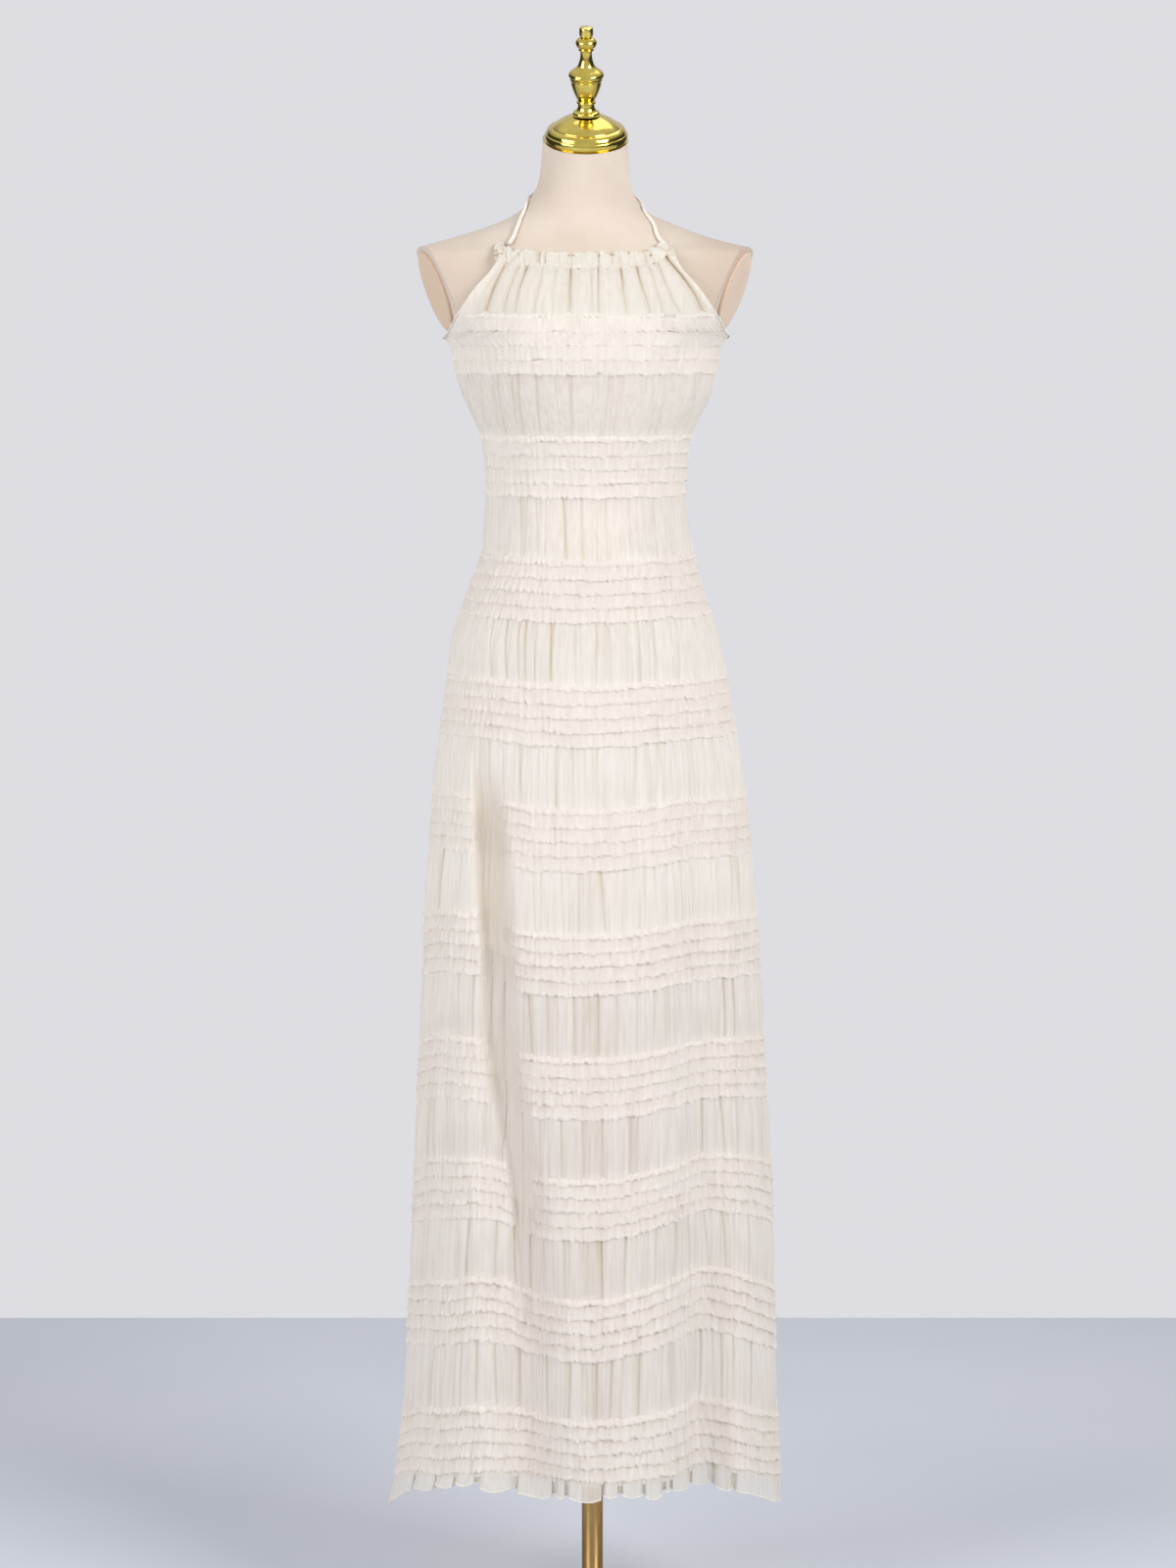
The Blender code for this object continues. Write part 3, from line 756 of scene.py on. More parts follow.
class Graph:
    """The nodes of a material or of the world, with short ways to add and join them."""

    def __init__(self, owner: bpy.types.Material | bpy.types.World, output: str) -> None:
        """Starts an empty graph.

        Args:
            owner: what the nodes belong to.
            output: the kind of its output node.
        """
        owner.use_nodes = True
        self.owner = owner
        self.tree = owner.node_tree
        self.tree.nodes.clear()
        self.output = self.add(output)
        self.place = self.add("TexCoord")

    def add(self, kind: str, inputs: Inputs | None = None, **settings: object) -> Node:
        """Adds a node.

        Args:
            kind: its type, without ShaderNode before it.
            inputs: what each of its inputs gets, a value or another node's socket.
            settings: its own properties.

        Returns:
            The node.
        """
        node = self.tree.nodes.new(f"ShaderNode{kind}")
        for key, value in settings.items():
            setattr(node, key, value)
        for key, value in (inputs or {}).items():
            if isinstance(value, Socket):
                self.tree.links.new(value, node.inputs[key])
            else:
                node.inputs[key].default_value = value
        return node

    def mapped(self, scale: Row = (1, 1, 1), uv: bool = False) -> Socket:
        """Coordinates stretched by a scale: the piece's own place, or its flat cloth's."""
        source = self.place.outputs["UV" if uv else "Object"]
        return self.add("Mapping", {"Vector": source, "Scale": scale}).outputs["Vector"]

    def noise(self, where: Socket, scale: float, detail: float = 2.0) -> Socket:
        """Cloudy noise from 0 to 1."""
        return self.add("TexNoise", {"Vector": where, "Scale": scale, "Detail": detail}).outputs["Fac"]

    def wave(self, where: Socket, direction: str, scale: float, bend: float = 0.0) -> Socket:
        """Even ribs across X or Y, a little bent."""
        inputs = {"Vector": where, "Scale": scale, "Distortion": bend}
        return self.add("TexWave", inputs, wave_type="BANDS", bands_direction=direction).outputs["Fac"]

    def attribute(self, name: str) -> Socket:
        """A number that the mesh holds at its points."""
        return self.add("Attribute", attribute_name=name).outputs["Fac"]

    def ranged(self, value: Socket, *limits: float) -> Socket:
        """Maps a range, from its low to its high end, to another, and stops at its ends."""
        keys = ("Value", "From Min", "From Max", "To Min", "To Max")
        return self.add("MapRange", dict(zip(keys, (value, *limits)))).outputs["Result"]

    def maths(self, operation: str, first: Socket, second: Socket | float) -> Socket:
        """Joins two numbers by a named operation."""
        return self.add("Math", {0: first, 1: second}, operation=operation).outputs["Value"]

    def blend(self, factor: Socket, first: object, second: object) -> Socket:
        """A mix of two colours, each a value or a socket."""
        return self.add("Mix", {"Factor": factor, 6: first, 7: second}, data_type="RGBA").outputs[2]

    def bump(self, height: Socket, distance: float, strength: float, under: Socket | None = None) -> Socket:
        """A relief in the surface, on top of another one."""
        inputs = {"Height": height, "Distance": distance, "Strength": strength}
        return self.add("Bump", inputs if under is None else inputs | {"Normal": under}).outputs["Normal"]

    def principled(self, colour: Socket, **inputs: Socket | float) -> Node:
        """The main shader. Its other inputs go by their names, with _ for a space."""
        named = {key.replace("_", " "): value for key, value in inputs.items()}
        return self.add("BsdfPrincipled", {"Base Color": colour} | named)

    def mixed(self, factor: Socket | float, first: Node, second: Node) -> Node:
        """A mix of two shaders."""
        return self.add("MixShader", {"Fac": factor, 1: first.outputs[0], 2: second.outputs[0]})

    def done(self, shader: Node) -> bpy.types.Material | bpy.types.World:
        """Joins the last shader to the output, and gives what the nodes belong to."""
        self.tree.links.new(shader.outputs[0], self.output.inputs["Surface"])
        return self.owner


@dataclass(frozen=True)
class Finish:
    """What every finish has."""

    name: str

    def graph(self) -> Graph:
        """The empty nodes of its material."""
        return Graph(bpy.data.materials.new(self.name), "OutputMaterial")


@dataclass(frozen=True)
class Chiffon(Finish):
    """Sheer crinkled chiffon: cream, faintly see-through, with fine creases down the cloth.

    In its pleats it lies double, so it is denser there. Its colour is tinted warmer and darker by painted
    shade in the pleats, folds and pinches, which partly stands for the double layer.
    """

    light: Row
    # The random streaks' tone, which is also the colour of painted shade; below it the colour of the deepest
    # painted shade.
    warm_streak_and_shade: Row = display(214, 201, 180)
    deep_shade: Row = display(160, 136, 104)
    cloudy: Row = display(244, 236, 228)
    sheer: float = 0.16  # share of light that goes straight through one layer
    glow: float = 0.32  # share that it scatters through
    crinkle: float = 1.0
    ribs: Pair = (480, 520)  # of the weave, across and down

    def make(self) -> bpy.types.Material:
        """The finish as a material.

        Returns:
            The material.
        """
        g = self.graph()
        streaks = g.noise(g.mapped((1, 1, 0.05)), 260, 3)
        clouds = g.noise(g.mapped(), 9)
        painted_shade = g.attribute("painted_shade")
        tone = g.blend(g.ranged(streaks, 0.42, 0.75, 0.0, 0.14), self.light, self.warm_streak_and_shade)
        tone = g.blend(g.ranged(clouds, 0.35, 0.7, 0.0, 0.12), tone, self.cloudy)
        # Painted shade: where the shade attribute is high the cloth is tinted warm, then dark, in the pleats,
        # the folds, the pinches and under the rows.
        tone = g.blend(g.ranged(painted_shade, 0.0, 1.0, 0.0, 0.92), tone, self.warm_streak_and_shade)
        tone = g.blend(g.ranged(painted_shade, 1.0, 2.0, 0.0, 1.0), tone, self.deep_shade)
        creases = g.noise(g.mapped((1, 1, 0.07)), 520)
        crumple = g.noise(g.mapped((1, 1, 0.7)), 230, 3)
        across, down = (g.wave(g.mapped(uv=True), way, scale) for way, scale in zip("XY", self.ribs))
        weave = g.maths("ADD", g.maths("MULTIPLY", across, 0.5), g.maths("MULTIPLY", down, 0.5))
        relief = g.bump(creases, 0.0008 * self.crinkle, 0.5)
        relief = g.bump(crumple, 0.0009 * self.crinkle, 0.35, relief)
        relief = g.bump(weave, 0.0001, 0.3, relief)
        sheen = {"Sheen_Weight": 0.2, "Sheen_Roughness": 0.45}
        cloth = g.principled(tone, Normal=relief, Roughness=0.72, Specular_IOR_Level=0.2, **sheen)
        through = g.add("BsdfTranslucent", {"Color": tone, "Normal": relief})
        dense = g.ranged(painted_shade, 0.0, 0.8, 1.0, 0.3)
        dense = g.maths("MULTIPLY", dense, g.ranged(streaks, 0.3, 0.7, 0.75, 1.2))
        open_share = g.maths("MULTIPLY", dense, self.sheer)
        return g.done(g.mixed(open_share, g.mixed(self.glow, cloth, through), g.add("BsdfTransparent")))


@dataclass(frozen=True)
class Jersey(Finish):
    """The form's matt knitted cover: fine wales, slight unevenness."""

    light: Row
    shade: Row

    def make(self) -> bpy.types.Material:
        """The finish as a material.

        Returns:
            The material.
        """
        g = self.graph()
        clouds = g.noise(g.mapped(), 14, 3)
        fibres = g.noise(g.mapped((1, 1, 0.5)), 900)
        tone = g.blend(g.ranged(clouds, 0.3, 0.75, 0.0, 0.5), self.light, self.shade)
        tone = g.blend(g.ranged(fibres, 0.35, 0.7, 0.0, 0.16), tone, self.shade)
        # Painted shade where the mesh's painted shade attribute is high: the torso's shoulders and the left
        # arm plate.
        tone = g.blend(g.ranged(g.attribute("painted_shade"), 0.0, 1.0, 0.0, 0.8), tone, self.shade)
        wales = g.wave(g.mapped(uv=True), "X", 190, 0.4)
        relief = g.bump(wales, 0.0002, 0.4, g.bump(fibres, 0.0003, 0.4))
        sheen = {"Sheen_Weight": 0.12, "Sheen_Roughness": 0.5}
        return g.done(g.principled(tone, Normal=relief, Roughness=0.88, Specular_IOR_Level=0.2, **sheen))


@dataclass(frozen=True)
class PolishedBrass(Finish):
    """Bright lacquered brass with faint smears."""

    light: Row = display(232, 211, 106)
    shade: Row = display(188, 158, 56)

    def make(self) -> bpy.types.Material:
        """The finish as a material.

        Returns:
            The material.
        """
        g = self.graph()
        smears = g.noise(g.mapped(), 60, 3)
        tone = g.blend(g.ranged(smears, 0.3, 0.75, 0.0, 0.6), self.light, self.shade)
        relief = g.bump(g.noise(g.mapped(), 700), 0.00006, 0.25)
        gloss = g.ranged(smears, 0.35, 0.7, 0.1, 0.2)
        return g.done(g.principled(tone, Normal=relief, Metallic=1.0, Roughness=gloss, Coat_Weight=0.3))


@dataclass(frozen=True)
class BrushedBrass(Finish):
    """Brass brushed along the pole, or round the base."""

    grain: Row = (1, 1, 0.02)
    light: Row = display(228, 197, 138)
    shade: Row = display(188, 152, 92)

    def make(self) -> bpy.types.Material:
        """The finish as a material.

        Returns:
            The material.
        """
        g = self.graph()
        lines = g.noise(g.mapped(self.grain), 1400, 3)
        patches = g.noise(g.mapped((1, 1, 0.4)), 24, 3)
        tone = g.blend(g.ranged(lines, 0.3, 0.7, 0.0, 0.45), self.light, self.shade)
        tone = g.blend(g.ranged(patches, 0.4, 0.75, 0.0, 0.45), tone, self.shade)
        relief = g.bump(lines, 0.00006, 0.3)
        gloss = g.ranged(patches, 0.3, 0.7, 0.46, 0.54)
        streak = {"Anisotropic": 1.0, "Anisotropic_Rotation": 0.25}
        return g.done(g.principled(tone, Normal=relief, Metallic=1.0, Roughness=gloss, **streak))


@dataclass(frozen=True)
class StudioFloor(Finish):
    """A plain pale floor with a slight gloss."""

    name: str = "studio_floor"
    tint: Row = display(216, 220, 228)
    shade: Row = display(208, 213, 222)

    def make(self) -> bpy.types.Material:
        """The finish as a material.

        Returns:
            The material.
        """
        g = self.graph()
        tone = g.blend(g.ranged(g.noise(g.mapped(), 1.6), 0.3, 0.7, 0.0, 1.0), self.tint, self.shade)
        return g.done(g.principled(tone, Roughness=0.45, Specular_IOR_Level=0.3))


class Finishes:
    """The finishes of every piece, each made once."""

    def __init__(self) -> None:
        """Makes the materials."""
        row = {"sheer": 0.11, "glow": 0.36}
        # The upper body's chiffon is a lighter copy of the skirt's: painted light on the upper tiers.
        self.body = Chiffon("chiffon_body", display(249, 245, 238)).make()
        self.skirt = Chiffon(
            "chiffon_skirt", display(246, 241, 235), display(208, 197, 180), sheer=0.23
        ).make()
        self.yoke = Chiffon("chiffon_yoke", display(242, 239, 231), sheer=0.12).make()
        self.frill = Chiffon("chiffon_frill", display(247, 242, 236), display(208, 197, 183), **row).make()
        # The top two bands get a lighter copy of the frill finish: painted light.
        self.frill_top = Chiffon(
            "chiffon_frill_top", display(252, 247, 240), display(212, 202, 188), **row
        ).make()
        self.flounce = Chiffon(
            "chiffon_flounce", display(235, 232, 225), display(216, 206, 188), sheer=0.26, crinkle=0.5
        ).make()
        self.trim = Chiffon(
            "chiffon_rouleau", display(241, 235, 227), sheer=0.0, glow=0.12, crinkle=0.6
        ).make()
        self.cover = Jersey("form_jersey", display(215, 203, 190), display(190, 172, 154)).make()
        self.plate = Jersey("plate_jersey", display(214, 195, 177), display(205, 180, 155)).make()
        self.piping = Jersey("piping_jersey", display(208, 176, 154), display(196, 160, 136)).make()
        self.gold = PolishedBrass("polished_brass").make()
        self.pole = BrushedBrass("brushed_brass_pole").make()
        self.base = BrushedBrass("brushed_brass_base", grain=(1, 1, 1)).make()


def add_trim(name: str, patch: Patch, finishes: Finishes, replaces: tuple[str, ...] = ()) -> None:
    """Makes one narrow piece of trim: a rolled hem, a seam or a rouleau."""
    add_piece(name, [patch], finishes.trim, replaces, True)


# --------------------------------------------------------------------------- the dress


@dataclass(frozen=True)
class PleatSet:
    """A family of fine creases that run down the cloth, of uneven place, depth and length."""

    spacing: Pair
    gap: Pair  # the wider spacing between two groups
    gap_share: float
    depth: Pair
    width: Pair
    reach: Pair  # share of the stretch that a crease runs, from its own end
    lean: float
    top_share: float = 0.55  # share of the creases that are strongest at the top

    def draw(self, length: float, rng: Random) -> Array:
        """Draws the creases along one stretch of cloth.

        Args:
            length: how long the stretch is, round the body.
            rng: the source of the uneven sizes.

        Returns:
            A row for each crease: its place at the top and at the bottom, its depth and width,
            and how strong it is at the top and at the bottom.
        """
        count = int(length / self.spacing[0]) + 2
        steps = rng.uniform(*self.spacing, count)
        steps = np.where(rng.random(count) < self.gap_share, rng.uniform(*self.gap, count), steps)
        place = np.cumsum(steps)
        place = place[place < length]
        n = len(place)
        lean = rng.normal(0, self.lean, n) / 2
        fade = np.clip(1.3 - rng.uniform(*self.reach, n), 0, 1)
        from_top = rng.random(n) < self.top_share
        depth, width = rng.uniform(*self.depth, n), rng.uniform(*self.width, n)
        strong_top, strong_bottom = np.where(from_top, 1, 1 - fade), np.where(from_top, 1 - fade, 1)
        return np.stack([place - lean, place + lean, depth, width, strong_top, strong_bottom], axis=-1)


def crease_relief(creases: Array, along: Array, share: Array) -> Array:
    """The depth of a family of creases.

    Each is a sharp line between soft shoulders: its depth falls off on either side as
    exp(-distance / width), with a third of it spread four times as wide.

    Args:
        creases: rows as PleatSet.draw gives them.
        along: distance round the body, one for each column.
        share: 0 at the stretch's top to 1 at its bottom, one for each line.

    Returns:
        How deep the cloth lies, for each line and column.
    """
    total = np.zeros((len(share), len(along)))
    down = share[:, None]
    for top, bottom, depth, width, strong_top, strong_bottom in creases:
        near = np.abs(along - (top + bottom) / 2) < 14 * width + abs(top - bottom)
        off = np.abs(along[None, near] - top - (bottom - top) * down)
        strength = depth * (strong_top + (strong_bottom - strong_top) * down)
        total[:, near] += strength * (0.7 * np.exp(-off / width) + 0.3 * np.exp(-off / (4 * width)))
    return total


# The front's creases that show best, a block for each stretch below a band: the angle at the
# stretch's top and at its bottom in degrees, and how strong the crease is.
MAIN_CREASES = (
    ((24, 5, 16), (37, 24, 9), (44.5, 37.3, 12), (47.6, 42, 15), (55.5, 50.4, 12), (58.7, 54.2, 17),
     (67.5, 64.5, 17), (83.3, 82, 13), (101.3, 101.7, 11), (114.7, 119.2, 8), (120.2, 125.1, 9),
     (126, 130.2, 8), (145.5, 156.3, 10)),
    ((29.5, 32.5, 10), (34.8, 38.2, 10), (49.1, 51.4, 13), (59.9, 62.4, 12), (66.1, 66.6, 10),
     (76.5, 79, 18), (86.5, 87.6, 15), (100.5, 101.1, 11), (114.7, 114.8, 11), (119.7, 119.6, 9),
     (131.6, 131.7, 10), (146.4, 145.8, 9)),
    ((34, 37, 9), (44, 46.9, 13), (52.4, 55.2, 19), (58.9, 61, 17), (62.3, 64.1, 20), (66.5, 68.5, 9),
     (74.3, 75.3, 19), (84.8, 85.4, 14), (94.1, 93.8, 17), (99.6, 100, 13), (107.9, 107, 10),
     (113.4, 112.2, 13), (121.1, 119, 13), (134.6, 130.9, 12), (147.7, 142.9, 9)),
    ((41.2, 42.9, 10), (44.4, 45.4, 12), (49, 50.8, 14), (56.2, 57.3, 12), (63.5, 65.3, 14),
     (71.1, 71.9, 9), (78, 78.6, 13), (84.3, 85.2, 14), (92, 91.6, 10), (93.8, 93.4, 12),
     (106, 105.1, 11), (108.7, 107.3, 12), (117.3, 115.3, 10), (120.6, 118.9, 11), (131.7, 130.4, 9),
     (140, 138.4, 9)),
    ((25.8, 25.4, 24), (38.4, 39.2, 12), (47.2, 48.5, 14), (49.7, 50.1, 15), (60.6, 61.7, 10),
     (70.2, 71.8, 11), (73.4, 73.7, 12), (80.9, 81.7, 12), (87.1, 87.2, 14), (94.8, 96.1, 18),
     (102.6, 102.7, 10), (110.1, 109.5, 11), (118.3, 117.4, 10), (141.1, 140.2, 10),
     (150.2, 147.9, 16), (155.4, 153.4, 14)),
    ((26.1, 26.4, 13), (39, 40.7, 14), (46.3, 46.8, 20), (51.9, 52.2, 20), (57.7, 57.8, 24),
     (67.2, 67.6, 13), (69.5, 70.8, 20), (76.4, 76.8, 16), (79.5, 79.9, 12), (85.5, 85.9, 21),
     (90.5, 90.8, 13), (93.6, 93.6, 24), (99.6, 99.6, 16), (106.4, 106, 15), (112.2, 111.6, 14),
     (116.4, 116.2, 12), (119.9, 119.2, 11), (141.8, 141.4, 25), (146.7, 146.1, 18)),
    ((22.2, 23.1, 16), (27.1, 28.6, 11), (35.5, 36.1, 13), (45.1, 45.1, 11), (52.1, 52.2, 10),
     (59, 58.7, 25), (66.6, 67, 17), (74, 74.3, 14), (81.4, 81.8, 19), (88.5, 88.6, 15),
     (94.7, 95, 19), (103.9, 103.5, 17), (105.8, 105.4, 17), (112.9, 112.8, 10), (131.5, 131.3, 24),
     (138.9, 139.6, 20), (145.3, 145.1, 16), (164.7, 161.7, 16)),
    ((25.9, 25.9, 15), (48.4, 47.5, 16), (57.6, 57.7, 20), (63.6, 64.4, 28), (69.8, 69.7, 24),
     (75.2, 76.2, 16), (82.6, 82.9, 17), (84.2, 84.2, 15), (87.6, 87.6, 12), (90.1, 90.4, 13),
     (94.3, 94.6, 32), (101.7, 101.1, 22), (107.5, 106.8, 10), (111.3, 110.9, 16), (118.3, 117.8, 19),
     (123.9, 124.4, 17), (131.5, 133.5, 14), (138.3, 139.1, 18), (149.4, 148.5, 17)),
    ((32.8, 31.2, 17), (44, 43.5, 13), (46.6, 46.6, 15), (52.8, 52.9, 20), (58.5, 59.9, 21),
     (66.2, 66.3, 28), (76.6, 77, 19), (84.6, 84.3, 22), (92.8, 92.8, 25), (97.4, 96.8, 25),
     (100.7, 100.1, 12), (105.8, 105.4, 23), (113, 112.7, 13), (116.5, 116.5, 13), (130.4, 130, 23),
     (137.5, 137.7, 21), (141.4, 141, 16), (149.6, 148.8, 20)),
)


@dataclass(frozen=True)
class BodyCloth:
    """The front and back panels: the cloth under the frill rows and the pleated stretches."""

    front_step: float = 0.00078
    back_step: float = 0.0014
    fine: PleatSet = PleatSet(
        (0.0034, 0.0072), (0.009, 0.015), 0.16, (0.0003, 0.0012), (0.0006, 0.0012), (0.3, 1.3), 0.0016
    )
    middling: PleatSet = PleatSet(
        (0.010, 0.026), (0.03, 0.045), 0.15, (0.0010, 0.0024), (0.0010, 0.0018), (0.2, 0.7), 0.0022
    )
    band_half: float = 2.5 * ROW_STEP
    # The creases get painted shade from the shallow depth on, and full painted shade at deepest below it.
    shallow: float = 0.0004  # a crease has no darker tone down to this depth
    deepest: float = 0.0014  # and its full tone this much deeper
    under_band: float = 0.009  # the front's cloth starts this far under the top band's edge
    lap: float = 0.002  # half the gap between two stretches' lines, under a band
    off: float = 0.0010  # how far the cloth stands off its middle
    puff: float = 0.0010  # and how much more between two bands
    seam_fade: float = 0.004  # the creases run out this near to a side seam
    split: int = 6  # the first stretch of the lower piece

    def tiers(self, panel: Panel) -> list[Pair]:
        """Top and bottom of each stretch of cloth, from one band's middle to the next one's.

        Args:
            panel: front or back.

        Returns:
            The stretches' heights, from the top one down.
        """
        top = UNDERARM if panel is Panel.BACK else BAND_TOP + self.band_half - self.under_band
        return list(zip([top, *BAND_MIDDLES], [*BAND_MIDDLES, HEM_SEAM]))

    def heights(self, top: float, bottom: float) -> tuple[Array, Array]:
        """The lines of one stretch of cloth, closer together between the bands.

        Args:
            top: its upper line, in the middle of a band.
            bottom: its lower line, in the middle of the next band.

        Returns:
            The lines' heights, and how far each is down the plain part, from 0 to 1.
        """
        if top - bottom < BAND_STEP * 0.9:
            return np.linspace(top, bottom - self.lap, 6), np.zeros(6)
        high, low = top - self.band_half + 0.004, bottom + self.band_half
        above = np.linspace(top + self.lap, high, 4)[:-1]
        below = np.linspace(low, bottom - self.lap, 4)[1:]
        heights = np.concatenate([above, np.linspace(high, low, 10), below])
        return heights, np.clip((high - heights) / (high - low), 0, 1)

    def creases(self, panel: Panel, number: int, shares: Array, along: Array) -> Array:
        """All creases of one stretch: the main ones of the front, and fine ones between them.

        Args:
            panel: front or back.
            number: the stretch's number, from 0 above the first band's middle.
            shares: each column's share of the panel's angle.
            along: each column's distance along the cloth.

        Returns:
            A row for each crease, as PleatSet.draw gives them.
        """
        rng = np.random.default_rng(700 + number + (40 if panel is Panel.BACK else 0))
        fine = self.fine.draw(along[-1], rng)
        if panel is Panel.BACK or not 1 <= number <= len(MAIN_CREASES):
            return np.concatenate([fine, self.middling.draw(along[-1], rng)])
        table = np.array(MAIN_CREASES[number - 1])
        top = np.interp(table[:, 0] / 180, shares, along)
        bottom = np.interp(table[:, 1] / 180, shares, along)
        depth = np.minimum(table[:, 2], 12 + table[:, 2] * 0.4) * 1e-4
        strong = np.ones(len(top))
        main = np.stack([top, bottom, depth, 0.0007 + depth * 0.35, strong, strong * 0.7], axis=-1)
        clear = np.abs(fine[:, :1] - top[None, :]).min(axis=1) > 0.0022
        return np.concatenate([main, fine[clear]])

    def tier(self, panel: Panel, number: int) -> Patch:
        """One stretch of cloth, from the middle of a band to the middle of the next.

        The cloth's own surface less the depth of its creases, which run straight on under
        the frill rows, with a slight puff between the gathered ends.

        Args:
            panel: front or back.
            number: the stretch's number.

        Returns:
            The stretch's grid.
        """
        top, bottom = self.tiers(panel)[number]
        heights, share = self.heights(top, bottom)
        step = self.front_step if panel is Panel.FRONT else self.back_step
        shares, along = DRAPE.even_shares(panel, (top + bottom) / 2, step)
        depth = crease_relief(self.creases(panel, number, shares, along), along, share)
        depth = depth * np.clip(np.minimum(along, along[-1] - along) / self.seam_fade, 0, 1)
        puff = self.puff * np.sin(math.pi * share)
        ends = np.array([DRAPE.reach(panel, float(height)) for height in heights])
        angle = ends[:, :1] + (ends[:, 1:] - ends[:, :1]) * shares[None, :]
        points = DRAPE.point(angle, heights[:, None], self.off + puff[:, None] - depth)
        shade = DRAPE.shade(angle, heights[:, None])
        # Painted shade: darker in the deeper creases and in the folds' painted shade.
        painted_shade = np.clip((depth - self.shallow) / self.deepest, 0, 1.45)
        painted_shade = np.maximum(painted_shade, shade) + 0.3 * np.minimum(painted_shade, shade)
        return Patch(points, along, -heights[:, None], painted_shade)

    def build(self, finishes: Finishes) -> dict[Panel, list[Piece]]:
        """Makes both panels, each in an upper and a lower piece that meet behind a band.

        Args:
            finishes: the finishes.

        Returns:
            The panels' pieces.
        """
        made: dict[Panel, list[Piece]] = {panel: [] for panel in Panel}
        for panel in Panel:
            count = len(self.tiers(panel))
            for word, numbers in (("upper", range(self.split)), ("lower", range(self.split, count))):
                patches = [self.tier(panel, number) for number in numbers]
                finish = finishes.body if word == "upper" else finishes.skirt
                stands_for = (f"dress_{panel.word}",)
                piece = add_piece(f"body_{panel.word}_{word}", patches, finish, stands_for)
                made[panel].append(piece)
        return made


@dataclass(frozen=True)
class Ruffle:
    """Uneven waves along a gathered edge."""

    pitch: Pair
    strength: Pair

    def waves(self, along: Array, rng: Random) -> tuple[Array, Array]:
        """Phase and strength of the waves at places along the edge.

        Each wave has its own length and strength; between two waves both change evenly.

        Args:
            along: distance along the edge.
            rng: the source of the uneven sizes.

        Returns:
            The waves' phase in radians, and their strength.
        """
        count = int(along[-1] / self.pitch[0]) + 4
        stops = np.cumsum(rng.uniform(*self.pitch, count)) - self.pitch[1]
        phase = np.interp(along, stops, 2 * math.pi * np.arange(count) + rng.normal(0, 0.5, count))
        return phase, np.interp(along, stops, rng.uniform(*self.strength, count))


